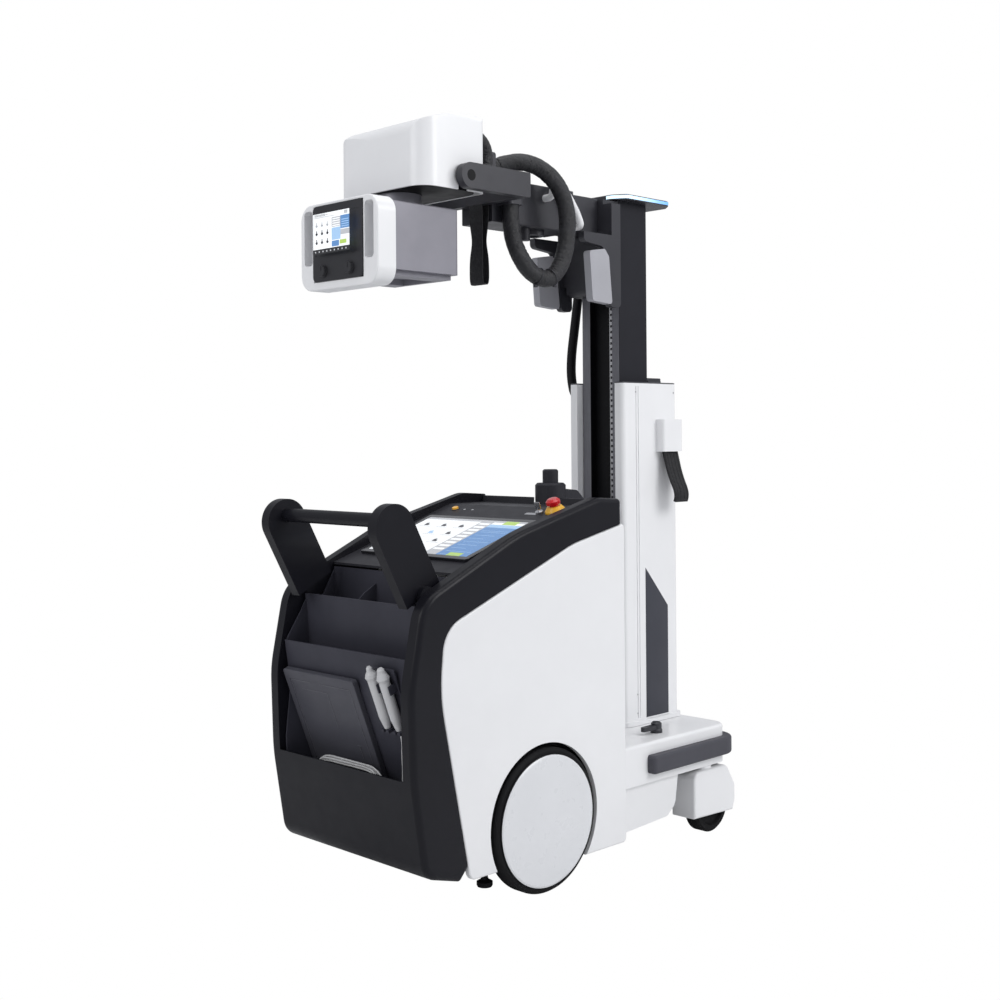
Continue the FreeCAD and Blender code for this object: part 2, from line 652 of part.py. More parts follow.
def make_chassis():
    """The welded frame: pan, front plate, posts, webs and the bed under the column."""
    frame = new_body("chassis_frame")
    wide, pan_top = d.inner_width / 2 - 14, d.pan_bottom + d.plate
    front = d.cover_front - d.cover_wall
    prism(frame, "z", rect(-d.pan_rear, front, -wide, wide), d.pan_bottom, pan_top)
    plate_wide = half - d.cover_wall - 0.3
    prism(frame, "x", [(-wide, d.pan_bottom), (wide, d.pan_bottom), (wide, 230), (plate_wide, 260),
                       (plate_wide, 880), (-plate_wide, 880), (-plate_wide, 260), (-wide, 230)],
          front - 12, front)
    bed_wide = d.deck_width / 2 - d.deck_wall - 0.3
    prism(frame, "z", [(front - 6, -200), (570, -200), (600, -bed_wide), (752, -bed_wide),
                       (752, bed_wide), (600, bed_wide), (570, 200), (front - 6, 200)],
          d.bed_bottom, d.bed_top)
    for side in (-1, 1):
        low, high = (-198, -184) if side < 0 else (184, 198)
        prism(frame, "y", [(front - 6, pan_top - 6), (front + 200, 140), (front + 235, d.bed_top),
                           (front - 6, d.bed_top)], low, high)
        low, high = (-d.inner_width / 2, -206) if side < 0 else (206, d.inner_width / 2)
        prism(frame, "z", rect(-d.pan_rear, -d.pan_rear + 15, low, high), d.pan_bottom, d.post_top)
        prism(frame, "z", [(d.caster_x, side * d.caster_y, 24)], d.bed_top - 2, d.bed_top + 26)
        cutout(frame, "z", [(d.caster_x, side * d.caster_y, d.stem_radius + d.run)],
               d.bed_bottom - 1, d.bed_top + 22)
        prism(frame, "z", [(-136, side * 197, 15)], d.pan_bottom - 12, d.pan_bottom + 2)
        cutout(frame, "z", [(-136, side * 197, 8.05)], d.pan_bottom - 13, pan_top + 1)
    cutout(frame, "z", [(d.column_x, 0, d.ring_radius - 50)], d.bed_bottom - 1, d.bed_top + 1)
    cutout(frame, "x", rect(-120, 120, 560, 820), front - 13, front + 1)
    place(frame)
    node(frame, "chassis_frame")


def make_inner_units():
    """The battery, the generator and the two geared drive motors."""
    floor = d.pan_bottom + d.plate
    battery = new_body("battery_pack")
    prism(battery, "z", rect(-232, -78, -198, 198), floor, floor + 270)
    soften(battery, 6, parallel("z"))
    for y in (-66, 66):
        cutout(battery, "y", rect(-236, -74, floor + 262, floor + 272), y - 3, y + 3)
    place(battery)
    node(battery, "battery_pack")

    generator = new_body("hv_generator")
    prism(generator, "z", rect(80, 270, -168, 168), floor, floor + 400)
    soften(generator, 8, parallel("z"))
    prism(generator, "z", [(130, -90, 26), (130, 90, 26)], floor + 398, floor + 430)
    place(generator)
    node(generator, "hv_generator")

    motors = []
    for side in (-1, 1):
        motor = new_body("drive_motor")
        end = d.hub_end - 0.3
        low, high = (-end, -end + d.motor_length) if side < 0 else (end - d.motor_length, end)
        prism(motor, "y", [(0, d.wheel_radius, d.motor_radius)], low, high)
        foot = (-215, -150) if side < 0 else (150, 215)
        prism(motor, "y", [(-60, floor), (60, floor), (44, d.wheel_radius + 20),
                           (-44, d.wheel_radius + 20)], *foot)
        shaft = (-d.tyre_side + 6, -end + 2) if side < 0 else (end - 2, d.tyre_side - 6)
        prism(motor, "y", [(0, d.wheel_radius, 14)], *shaft)
        place(motor)
        motors.append(motor)
    grouped("drive_motors", motors)


def make_rear_feet():
    """Rubber anti-tip feet on threaded stems, a little above the floor."""
    feet = []
    for side in (-1, 1):
        foot = new_body("rear_foot")
        turned(foot, "z", [(30, 0), (30, 18), (34, 20), (42, 20), (48, 10), (54, 8), (104, 8), (104, 0)])
        place(foot, -136, side * 197, 0)
        feet.append(foot)
    grouped("rear_feet", feet)


def make_drive_wheels():
    """Solid-tyred drive wheels with plain disc caps, turning on the gearbox shafts."""
    tyre = new_body("drive_tyre_right")
    out, wide = d.tyre_side, d.tyre_width
    low, radius = d.wheel_radius - d.tyre_wall, d.wheel_radius
    turned(tyre, "y", [(-out, low), (-out, radius - 8), (-out + 3, radius - 3), (-out + 8, radius),
                       (-out + wide - 8, radius), (-out + wide - 2, radius - 4),
                       (-out + wide, radius - 10), (-out + wide, low)])
    place(tyre, 0, 0, d.wheel_radius)
    node(tyre, "drive_tyre_right")
    mirrored(tyre, "drive_tyre_left")

    rim = new_body("drive_rim_right")
    seat, face, cap = low - 0.3, d.cap_face, d.cap_radius
    turned(rim, "y", [(-face, 0), (-face, cap - 5), (-face + 2, cap - 1), (-face + 4, cap),
                      (-out - 0.3, cap), (-out - 0.3, seat), (-out + wide - 1, seat),
                      (-out + wide - 1, seat - 8), (-out + 12, seat - 14), (-out + 12, d.hub_radius + 6),
                      (-d.hub_end, d.hub_radius), (-d.hub_end, 14.05), (-out + 5, 14.05),
                      (-out + 5, 0)])
    place(rim, 0, 0, d.wheel_radius)
    node(rim, "drive_rim_right")
    mirrored(rim, "drive_rim_left")


def make_casters():
    """Swivelling front casters in rounded shrouds; the wheels turn on axles in the shrouds."""
    shroud = new_body("caster_shroud_right")
    wide, trail, centre = d.shroud_width / 2, d.caster_trail, d.caster_radius
    rear, front = trail - d.shroud_rear, trail + d.shroud_front
    prism(shroud, "y", [(rear, d.shroud_hem + 6), (rear, d.shroud_top), (front - 40, d.shroud_top),
                        (front, d.shroud_top - 62), (front, d.shroud_hem + 28),
                        (front - 12, d.shroud_hem)], -wide, wide)
    soften(shroud, 26, parallel("y", lambda c: c.z > 150 or (c.z > 118 and c.x > 50)))
    soften(shroud, 7, lambda edge: abs(abs(edge.BoundBox.YMin) - wide.value) < 0.01
           and edge.BoundBox.YLength < 0.01)
    gap = d.caster_width / 2 + d.fork_gap
    cutout(shroud, "y", [(trail, centre, d.caster_radius + 5)], -gap, gap)
    cutout(shroud, "z", rect(trail - d.caster_radius - 5, trail + d.caster_radius + 5, -gap, gap),
           0, centre)
    prism(shroud, "z", [(0, 0, d.stem_radius)], d.shroud_top - 4, d.bed_top + 18)
    prism(shroud, "z", [(0, 0, 34)], d.shroud_top - 4, d.bed_bottom - 0.4)
    prism(shroud, "y", [(trail, centre, 8)], -wide + 6, wide - 6)
    place(shroud, d.caster_x, -d.caster_y, 0)
    node(shroud, "caster_shroud_right")
    mirrored(shroud, "caster_shroud_left")

    wheel = new_body("caster_wheel_right")
    radius, side = d.caster_radius, d.caster_width / 2
    turned(wheel, "y", [(-side, 8.05), (-side, 20), (-side + 8, 24), (-side + 8, radius - 22),
                        (-side, radius - 18), (-side, radius - 6), (-side + 6, radius),
                        (side - 6, radius), (side, radius - 6), (side, radius - 18),
                        (side - 8, radius - 22), (side - 8, 24), (side, 20), (side, 8.05)])
    place(wheel, d.caster_x + trail, -d.caster_y, radius)
    node(wheel, "caster_wheel_right")
    mirrored(wheel, "caster_wheel_left")


# Front base

def make_base_skirt():
    """The white skirt round the low front base, open to the floor."""
    skirt = new_body("base_skirt")
    wide, front = d.skirt_width / 2, d.skirt_front
    back = d.cover_front + 1
    top = d.bed_bottom - 0.3
    prism(skirt, "y", [(back, d.skirt_bottom - 6), (front - 40, d.skirt_bottom + 4),
                       (front - 6, d.skirt_bottom + 30), (front + 8, top), (back, top)], -wide, wide)
    soften(skirt, 30, parallel("y", lambda c: c.x > front.value - 60 and c.z < 150))
    cutout(skirt, "z", rect(back - 1, front - 22, -wide + 6, wide - 6), d.skirt_bottom - 10, top + 1)
    place(skirt)
    node(skirt, "base_skirt")


def make_deck_cover():
    """The white cover over the column bed, with the round hole for the turntable."""
    cover = new_body("deck_cover")
    wide, front, back = d.deck_width / 2, d.deck_front, d.cover_front + 1
    prism(cover, "z", rect(back, front, -wide, wide), d.deck_seam, d.deck_top)
    soften(cover, d.deck_corner, parallel("z", lambda c: c.x > front.value - 1))
    soften(cover, 9, level(d.deck_top))
    wall = d.deck_wall
    cutout(cover, "z", rect(back - 1, front - wall - 4, -wide + wall, wide - wall),
           d.deck_seam - 1, d.deck_top - wall)
    cutout(cover, "z", [(d.column_x, 0, d.ring_radius + 3)], d.deck_top - wall - 1, d.deck_top + 1)
    place(cover)
    node(cover, "deck_cover")


def make_bumper():
    """The grey bumper bar that wraps the sides and front of the base."""
    bumper = new_body("bumper")
    wide, front = d.deck_width / 2 + d.bumper_thick, d.front_reach
    inner, face = d.deck_width / 2 + 0.3, d.deck_front + 0.3
    prism(bumper, "z", [(d.bumper_rear, -wide), (front, -wide), (front, wide), (d.bumper_rear, wide),
                        (d.bumper_rear, inner), (face, inner), (face, -inner),
                        (d.bumper_rear, -inner)],
          d.bumper_bottom, d.bumper_bottom + d.bumper_height)
    soften(bumper, d.deck_corner + 22, parallel("z", lambda c: c.x > front.value - 1))
    soften(bumper, d.deck_corner, parallel("z", lambda c: abs(c.x - face.value) < 0.5))
    soften(bumper, 12, parallel("z", lambda c: c.x < d.bumper_rear.value + 1
                                and abs(c.y) > wide.value - 1))
    soften(bumper, 8, lambda edge: edge.BoundBox.ZLength < 0.01
           and (abs(edge.BoundBox.YMin) > wide.value - 15 or abs(edge.BoundBox.YMax) > wide.value - 15
                or edge.BoundBox.XMin > front.value - 1))
    place(bumper)
    node(bumper, "bumper")


def make_turntable():
    """The fixed bearing ring that the column's spigot turns in."""
    ring = new_body("turntable_ring")
    base = d.bed_top
    inner, outer = d.spigot_radius + d.run, d.ring_radius
    turned(ring, "z", [(base, inner), (base, outer), (base + 40, outer), (base + 44, outer - 6),
                       (d.deck_top - 2, outer - 6), (d.deck_top, outer - 8), (d.deck_top, inner)])
    place(ring, d.column_x, 0, 0)
    node(ring, "turntable_ring")


def make_lock_knob():
    """The column lock: a knob with a short lever, on the deck beside the column."""
    knob = new_body("deck_lock_knob")
    turned(knob, "z", [(0.3, 0), (0.3, 17), (8, 17), (12, 15), (26, 15), (30, 11), (30, 0)])
    prism(knob, "z", [(-62, -7), (-12, -10), (-12, 10), (-62, 7)], 10, 22)
    soften(knob, 5, parallel("z", lambda c: c.x < -50))
    place(knob, 527, -205, d.deck_top)
    node(knob, "deck_lock_knob")


# Column and mast

def make_outer_column():
    """The white outer column: a channel open to the console side, on its turning foot."""
    column = new_body("outer_column")
    front, back, wide = -d.column_front, d.column_back, d.column_width / 2
    foot = d.deck_top + d.foot_gap
    shelf = foot + d.foot_thick
    prism(column, "z", rect(front, back, -wide, wide), shelf - 0.5, d.column_top)
    soften(column, 14, parallel("z"))
    inside, deep = wide - d.column_wall, d.mast_back + 4
    cutout(column, "z", rect(front - 1, deep, -inside, inside), shelf, d.column_top + 1)
    cutout(column, "z", rect(deep + 14, back - 14, -wide + 20, wide - 20), shelf + 20,
           d.column_top - 8)
    for side in (-1, 1):
        for line in (-68, -58):
            low, high = (-wide - 1, -wide + 2.5) if side < 0 else (wide - 2.5, wide + 1)
            cutout(column, "y", rect(line, line + 3, shelf + 6, d.column_top - 12), low, high)
    soften(column, 3, level(d.column_top))
    margin = d.foot_margin
    prism(column, "z", [(front - margin + 3, -wide - margin), (back + margin - 3, -wide - margin),
                        (back + margin - 3, wide + margin), (front - margin + 3, wide + margin)],
          foot, shelf)
    soften(column, 26, parallel("z", lambda c: c.z < shelf.value and abs(c.y) > wide.value + 5))
    prism(column, "z", [(0, 0, d.spigot_radius)], foot - d.spigot_length, foot + 1)
    prism(column, "z", rect(24, 112, -wide - 30, -wide + 4), 1089, 1183)
    soften(column, 8, parallel("z", lambda c: c.y < -wide.value - 25 and c.z > 1000))
    prism(column, "x", rect(-20, 20, 1180, 1266), back - 4, back + 11)
    cutout(column, "x", rect(-21, 21, 1196, 1250), back, back + 6)
    prism(column, "z", rect(30, 90, -wide + 34, -wide + 70), d.column_top - 4, d.column_top + 6)
    place(column, d.column_x, 0, 0)
    node(column, "outer_column")


def make_column_strap():
    """The strap that hangs below the box on the column's side."""
    strap = new_body("column_strap")
    side = -d.column_width / 2
    prism(strap, "x", [(side - 22, 1088.7), (side - 36, 1040), (side - 62, 985), (side - 60, 950),
                       (side - 46, 940), (side - 46, 978), (side - 20, 1035), (side - 8, 1088.7)],
          34, 104)
    soften(strap, 5, parallel("x", lambda c: c.z < 1080))
    place(strap, d.column_x, 0, 0)
    node(strap, "column_strap")


def make_mast():
    """The inner mast: a box section with a guide channel and two rails on its front face."""
    mast = new_body("inner_mast")
    front, back, wide = -d.mast_front, d.mast_back, d.mast_width / 2
    prism(mast, "z", rect(front, back, -wide, wide), d.mast_bottom, d.mast_top)
    soften(mast, 4, parallel("z"))
    floor = front + d.channel_depth
    cutout(mast, "z", rect(front - 1, floor, -d.channel_low, d.channel_high),
           d.mast_bottom - 1, d.mast_top + 1)
    wall = d.mast_wall
    cutout(mast, "z", rect(floor + wall, back - wall, -wide + wall, wide - wall),
           d.mast_bottom - 1, d.mast_top - 20)
    place(mast, d.column_x, 0, 0)
    node(mast, "inner_mast")

    rack = new_body("rack_strip")
    low, high = -d.channel_low + 0.1, -d.channel_low + d.rack_width
    prism(rack, "z", rect(floor - d.rack_depth, floor, low, high), d.mast_bottom + 2,
          d.mast_top - 2)
    middle, side, start = (low + high) / 2, d.rack_hole / 2, d.mast_bottom + 24
    hole = cutout(rack, "x", rect(middle - side, middle + side, start - side, start + side),
                  floor - d.rack_depth - 1, floor - 4)
    holes = body_pattern(rack, hole, "z", d.mast_top - d.mast_bottom - 60, d.rack_pitch)
    place(rack, d.column_x, 0, 0)
    node(rack, "rack_strip")
    return holes


def body_pattern(body, feature, axis, length, pitch):
    """Repeats a feature along an origin axis at a pitch, over a length."""
    pattern = body.newObject("PartDesign::LinearPattern", "LinearPattern")
    pattern.Originals = [feature]
    role = axis.upper() + "_Axis"
    line = [f for f in body.Origin.OriginFeatures if f.Role == role][0]
    pattern.Direction = (line, [""])
    count = int(length.value // pitch.value)
    pattern.Length = count * pitch.value
    bind(pattern, "Length", pitch * count)
    pattern.Occurrences = count + 1
    body.Tip = pattern
    return pattern


def make_mast_cap():
    """The cap plate, with pointed ends, that closes the mast."""
    cap = new_body("mast_cap")
    front, back, wide = -d.cap_front, d.cap_back, d.cap_width / 2
    low = d.mast_top + 0.2
    prism(cap, "z", [(front + 26, -wide), (back - 30, -wide), (back, -wide + 34), (back, wide - 34),
                     (back - 30, wide), (front + 26, wide), (front, wide - 40), (front, -wide + 40)],
          low, low + d.cap_thick)
    soften(cap, 12, parallel("z"))
    soften(cap, 5, level(low + d.cap_thick))
    prism(cap, "z", rect(-52, -12, wide - 4, wide + 34), low - 22, low + d.cap_thick - 4)
    soften(cap, 6, parallel("z", lambda c: c.y > wide.value + 30))
    place(cap, d.column_x, 0, 0)
    node(cap, "mast_cap")


# Carriage and telescopic arm

def make_carriage():
    """The carriage: a block with a tongue in the mast's channel, and two side legs."""
    carriage = new_body("carriage")
    face = d.column_x - d.mast_front - d.slide_gap
    back = face - d.carriage_depth
    block_half = d.mast_width / 2
    prism(carriage, "z", rect(back, face, -block_half, block_half), d.carriage_bottom,
          d.carriage_top)
    soften(carriage, 20, parallel("y", lambda c: c.z < 1600 and c.x < back.value + 1))
    gap = d.slide_gap
    prism(carriage, "z", rect(face - 1, face + d.channel_depth, -d.channel_low + d.rack_width + 2,
                              d.channel_high - gap), d.carriage_bottom + 10, d.carriage_top - 10)
    edge, outer = d.column_x - d.column_front - 6, d.cheek_half
    for side in (-1, 1):
        low, high = (-outer, -outer + d.cheek_thick) if side < 0 else (outer - d.cheek_thick, outer)
        prism(carriage, "y", [(352, d.arm_bottom), (352, 1676), (430, 1668), (448, 1640),
                              (462, d.leg_bottom), (edge, d.leg_bottom), (edge, d.arm_bottom)],
              low, high)
        low, high = (-outer, -block_half + 1) if side < 0 else (block_half - 1, outer)
        prism(carriage, "y", rect(back, edge, d.carriage_bottom + 30, d.carriage_top - 14), low, high)
    soften(carriage, 14, parallel("y", lambda c: abs(c.y) > 84 and c.z < 1690))
    spar_half, spar_low, spar_high = spar_section()
    bore = spar_half + d.stage_gap
    cutout(carriage, "x", rect(-bore, bore, spar_low - d.stage_gap, spar_high + d.stage_gap),
           back - 1, face - 12)
    place(carriage)
    node(carriage, "carriage")

    grips = []
    for side in (-1, 1):
        grip = new_body("carriage_grip")
        low, high = (-outer - 9, -outer + 15) if side < 0 else (outer - 15, outer + 9)
        prism(grip, "y", [(366, 1650), (378, 1512), (460.6, 1506), (447.2, 1640), (430, 1660)],
              low, high)
        soften(grip, 9, parallel("y"))
        place(grip)
        grips.append(grip)
    grouped("carriage_grips", grips)


def spar_section():
    """Half width, underside and top of the middle stage, inside the fixed beam."""
    inset = d.arm_wall + d.stage_gap + d.beam_wall + d.stage_gap
    return d.arm_half - inset, d.arm_bottom + inset, d.carriage_top - d.spar_headroom


def box_tube(label, front, back, wide, low, high, wall, closed):
    """A square tube along x, open at the rear and closed over a length at the front."""
    piece = new_body(label)
    prism(piece, "x", rect(-wide, wide, low, high), front, back)
    soften(piece, 4, parallel("x"))
    cutout(piece, "x", rect(-wide + wall, wide - wall, low + wall, high - wall), front + closed,
           back + 1)
    place(piece)
    return node(piece, label)


def make_arm():
    """The fixed beam, the middle spar that slides in it and the arm tube that slides over it."""
    back = d.column_x - d.mast_front - d.slide_gap - d.carriage_depth
    inset = d.arm_wall + d.stage_gap
    low, high = d.arm_bottom + inset, d.arm_top - inset
    beam = new_body("arm_beam")
    wide = d.arm_half - inset
    prism(beam, "x", rect(-wide, wide, low, high), d.beam_front, back - 0.1)
    soften(beam, 4, parallel("x"))
    wall = d.beam_wall
    cutout(beam, "x", rect(-wide + wall, wide - wall, low + wall, high - wall), d.beam_front - 1, back)
    place(beam)
    node(beam, "arm_beam")

    spar_half, spar_low, spar_high = spar_section()
    box_tube("arm_spar", d.spar_front, d.spar_rear, spar_half, spar_low, spar_high, 6, 6)

    tube = box_tube("arm_tube", d.arm_face, d.arm_rear, d.arm_half, d.arm_bottom, d.arm_top,
                    d.arm_wall, d.arm_nose)
    cutout(tube, "x", [(0, d.roll_z, d.spindle + d.run)], d.arm_face - 1,
           d.arm_face + d.spindle_length + 2)
    bottom = d.arm_bottom
    prism(tube, "z", [(d.socket_x, 0, d.socket_radius)], bottom - 14, bottom + 2)
    cutout(tube, "z", [(d.socket_x, 0, 22.5)], bottom - 15, bottom - 2)
    prism(tube, "z", [(196, -30, 13)], bottom - 34, bottom + 2)
    prism(tube, "z", rect(58, 112, -d.arm_half - 52, -d.arm_half + 1), 1746, 1800)
    soften(tube, 12, parallel("z", lambda c: c.y < -100 and c.z > 1740))


def make_arm_hoop():
    """The bent white grab bar on the outer arm's right side."""
    side, out = -d.arm_half - 0.1, -86
    route = [(244, side, 1786), (244, out, 1786), (250, out, 1820), (272, out, 1825),
             (308, out, 1798), (345, out, 1752), (362, out, 1718), (362, side, 1718)]
    shaped("arm_hoop", cord(route, d.hoop_radius, "arm_hoop"))


# Yoke and tube head

def make_yoke():
    """The fork that rolls on the arm and holds the tube head between its two trunnions."""
    yoke = new_body("yoke")
    wide, tall = d.yoke_half, d.yoke_height / 2
    low, high = d.pivot_z - tall, d.pivot_z + tall
    prism(yoke, "x", rect(-wide, wide, low, high), d.yoke_back, d.yoke_front)
    for side in (-1, 1):
        ends = (-wide, -wide + d.yoke_thick) if side < 0 else (wide - d.yoke_thick, wide)
        prism(yoke, "y", rect(-d.pivot_x, d.yoke_front, low, high), *ends)
        prism(yoke, "y", [(-d.pivot_x, d.pivot_z, tall)], *ends)
        cutout(yoke, "y", [(-d.pivot_x, d.pivot_z, d.trunnion_radius + d.run)],
               ends[0] - 1, ends[1] + 1)
    soften(yoke, 5, parallel("y", lambda c: abs(c.x - d.yoke_front.value) < 0.1))
    prism(yoke, "x", [(0, d.roll_z, d.spindle)], d.yoke_front - 1, d.arm_face + d.spindle_length)
    prism(yoke, "x", rect(-74, -20, high - 2, high + 74), d.yoke_back + 2, d.yoke_front)
    soften(yoke, 10, parallel("x", lambda c: c.z > high.value + 50))
    place(yoke)
    node(yoke, "yoke")

    strap = new_body("hang_strap")
    prism(strap, "y", [(14, low - 0.3), (39, low - 0.3), (36, low - 90), (40, low - 180),
                       (36, low - 208), (18, low - 212), (12, low - 190), (16, low - 90)], -52, 0)
    soften(strap, 8, parallel("y", lambda c: c.z < low.value - 60))
    place(strap)
    node(strap, "hang_strap")


def head_profile(inset):
    return [(-d.head_rear + inset, d.head_bottom, 0.5), (-d.head_rear + inset, d.head_rear_top - inset, 34),
            (-d.head_rear + 70, d.head_rear_top + 22 - inset, 90),
            (-d.head_front - inset, d.head_top - inset, 16), (-d.head_front - inset, d.head_bottom, 0.5)]


def make_tube_cover():
    """The white head cover: a shell open below, with its rear face slanted in plan."""
    wide, wall = d.head_half, d.head_wall
    outer = slab(head_profile(0), -wide, wide).common(head_plan(0)).common(head_section(0))
    inner = slab(head_profile(wall), -wide, wide).common(head_plan(wall))
    shell = outer.cut(inner.common(head_section(wall)))
    notch = d.trunnion_radius + 2
    slots = block(-d.pivot_x - notch, -d.pivot_x + notch, -wide - 1, wide + 1, d.head_bottom - 1,
                  d.pivot_z + notch)
    shaped("tube_cover", shell.cut(slots).removeSplitter())


def head_plan(inset):
    """The head's outline from above, as a tall prism."""
    rear, front, wide = -d.head_rear + inset, -d.head_front - inset, d.head_half - inset
    corners = [(rear, -wide, 50 - inset), (rear, 40, 200), (rear + 10, wide, 46 - inset),
               (front, wide, 18), (front, -wide, 18)]
    wire = rounded(corners)
    wire.rotate(Vector(), Vector(1, 0, 0), -90)
    wire.translate(at(0, 0, d.head_bottom - 1))
    return Part.Face(wire).extrude(Vector(0, 0, 300))


def head_section(inset):
    """The head's outline from the front, as a long prism."""
    wide, top = d.head_half - inset, d.head_top - inset
    corners = [(-wide, d.head_bottom - 1, 0), (-wide, top - 14, 14), (-wide + 18, top, 22),
               (-112, top, 30), (-84, top - 16, 30), (wide - 80, top - 22, 80),
               (wide, d.head_rear_top - 20, 50), (wide, d.head_bottom - 1, 0)]
    wire = rounded(corners)
    wire.rotate(Vector(), Vector(0, 0, 1), 90)
    wire.translate(at(-d.head_rear - 10, 0, 0))
    return Part.Face(wire).extrude(Vector(300, 0, 0))


def make_tube_housing():
    """The tube housing inside the cover, with its base plate and trunnions."""
    housing = new_body("tube_housing")
    wide = d.head_half - d.head_wall - 2
    base = d.head_bottom
    prism(housing, "z", rect(-d.head_rear + 12, -d.head_front - 10, -wide, wide), base + 0.3,
          base + 16)
    soften(housing, 46, parallel("z"))
    prism(housing, "y", [(-190, base + 92, d.tube_radius)], -wide + 20, 92)
    prism(housing, "y", [(-230, base + 14), (-150, base + 14), (-150, base + 60), (-230, base + 60)],
          -wide + 34, 104)
    for side in (-1, 1):
        ends = (-wide, -wide + 22) if side < 0 else (wide - 22, wide)
        prism(housing, "y", [(-d.pivot_x - 30, base + 10), (-d.pivot_x + 30, base + 10),
                             (-d.pivot_x + 22, base + 70), (-d.pivot_x - 22, base + 70)], *ends)
        ends = (-d.yoke_half, -wide + 2) if side < 0 else (wide - 2, d.yoke_half)
        prism(housing, "y", [(-d.pivot_x, d.pivot_z, d.trunnion_radius)], *ends)
    place(housing)
    node(housing, "tube_housing")


def make_collimator():
    """The grey collimator box on its turning neck."""
    box = new_body("collimator_box")
    rear, front, wide = -d.box_rear, -d.box_front, d.box_half
    prism(box, "z", rect(rear, front, -wide, wide), d.box_bottom, d.box_top)
    soften(box, 10, parallel("z"))
    soften(box, 5, level(d.box_top))
    prism(box, "z", [(-d.beam_x, 0, d.neck_radius)], d.box_top - 2, d.head_bottom - 0.2)
    prism(box, "z", rect(rear + 26, front - 10, -wide + 20, wide - 20), d.box_bottom - 12,
          d.box_bottom + 1)
    cutout(box, "z", rect(-d.beam_x - 60, -d.beam_x + 60, -60, 60), d.box_bottom - 13,
           d.box_bottom + 3)
    place(box)
    node(box, "collimator_box")


def make_display():
    """The display housing: a deep rounded ring round a centre block, with grip openings."""
    frame = new_body("display_frame")
    rear, front, wide = -d.frame_rear, -d.box_rear - 0.1, d.frame_half
    low, high, bar, centre = d.frame_bottom, d.frame_top, d.frame_bar, d.centre_half
    prism(frame, "x", rect(-wide, wide, low, high), rear, front)
    soften(frame, 40, parallel("x"))
    soften(frame, 4, lambda edge: abs(edge.BoundBox.XMin - rear.value) < 0.01
           and edge.BoundBox.XLength < 0.01)
    for side in (-1, 1):
        u = (-wide + bar, -centre) if side < 0 else (centre, wide - bar)
        cutout(frame, "x", rect(u[0], u[1], low + 62, high - bar), rear - 1, front + 1)
    soften(frame, 10, parallel("x", lambda c: d.centre_half.value - 1 < abs(c.y)
                               < wide.value - bar.value + 1 and c.z > low.value + 50))
    cutout(frame, "x", rect(-d.panel_half - 0.2, d.panel_half + 0.2, d.panel_bottom - 0.2,
                            d.panel_top + 0.2), rear - 1, rear + 8)
    place(frame)
    node(frame, "display_frame")

    panel = new_body("display_panel")
    prism(panel, "x", rect(-d.panel_half, d.panel_half, d.panel_bottom, d.panel_top),
          rear - d.panel_proud, rear + 7.8)
    soften(panel, 14, parallel("x"))
    soften(panel, 2.5, lambda edge: edge.BoundBox.XMax < rear.value - d.panel_proud.value + 0.01)
    cutout(panel, "x", rect(-d.panel_half + 13, d.panel_half - 13, d.panel_bottom + 62,
                            d.panel_top - 22), rear - d.panel_proud - 1, rear - d.panel_proud + 1)
    place(panel)
    node(panel, "display_panel")

    face, height, radius = -d.frame_rear - d.panel_proud - 0.3, d.knob_height, d.knob_radius
    for name, side in (("knob_left", 1), ("knob_right", -1)):
        knob = new_body(name)
        turned(knob, "x", [(-height, 0), (-height, radius - 2), (-height + 2, radius - 1),
                           (-2, radius), (0, radius), (0, 0)])
        prism(knob, "z", rect(-height - 1, -height + 2, -1.5, 1.5), 0, radius - 3)
        place(knob, face, side * d.knob_spread, d.knob_z)
        node(knob, name)


# Cords that run between the moving parts

def make_cords():
    """The padded high-voltage sleeves and the supply cord behind the column."""
    clamp_y, clamp_z = -47, 1846
    clamp = d.yoke_front + 0.3
    route = [(85, -84, 1745.7), (85, -84, 1692), (93, -98, 1622), (131, -114, 1566),
             (188, -126, 1550), (232, -134, 1600), (252, -138, 1690), (243, -134, 1780),
             (202, -112, 1846), (138, -80, 1872), (86, -56, 1858), (66, clamp_y, clamp_z),
             (clamp, clamp_y, clamp_z)]
    shaped("sleeve_loop", cord(route, d.sleeve_radius, "sleeve_loop"))
    start, bend = -d.head_front + 0.3, 50
    out, low, high = start + bend + 2, 1800, 1800 + 2 * bend
    near, mid = start + 22, bend * 0.586
    y = -118
    route = [(start, y, high), (near, y, high), (out, y, high - mid), (out, y, low + mid),
             (near, y, low), (start, y, low)]
    shaped("sleeve_top", cord(route, d.short_sleeve_radius, "sleeve_top"))
    side = d.column_width / 2 + 0.3
    under = d.mast_top - 22.1
    route = [(604, 122, under), (604, 122, 1750), (604, 131, 1660), (604, 146, 1560),
             (604, 162, 1460), (604, 176, 1380), (604, 178, 1310), (604, 160, 1246),
             (604, side, 1246)]
    shaped("supply_cord", cord(route, d.supply_radius, "supply_cord"))


# Hand items in the bins

def make_detector():
    """The flat detector panel, leaning in the lower bin."""
    panel = new_body("detector")
    wide, tall, thick = d.detector_width, d.detector_height, d.detector_thick
    prism(panel, "x", rect(-54, wide - 54, 0, tall), -thick, 0)
    soften(panel, 9, parallel("x"))
    soften(panel, 2, lambda edge: edge.BoundBox.XLength < 0.01)
    cutout(panel, "x", rect(-34, wide - 74, 24, tall - 24), -thick - 1, -thick + 1)
    foot = leaning(d.detector_foot, d.bin_wall + 0.3)
    place(panel, foot[0], 0, foot[1], turn=((0, -1, 0), d.lean))
    node(panel, "detector")


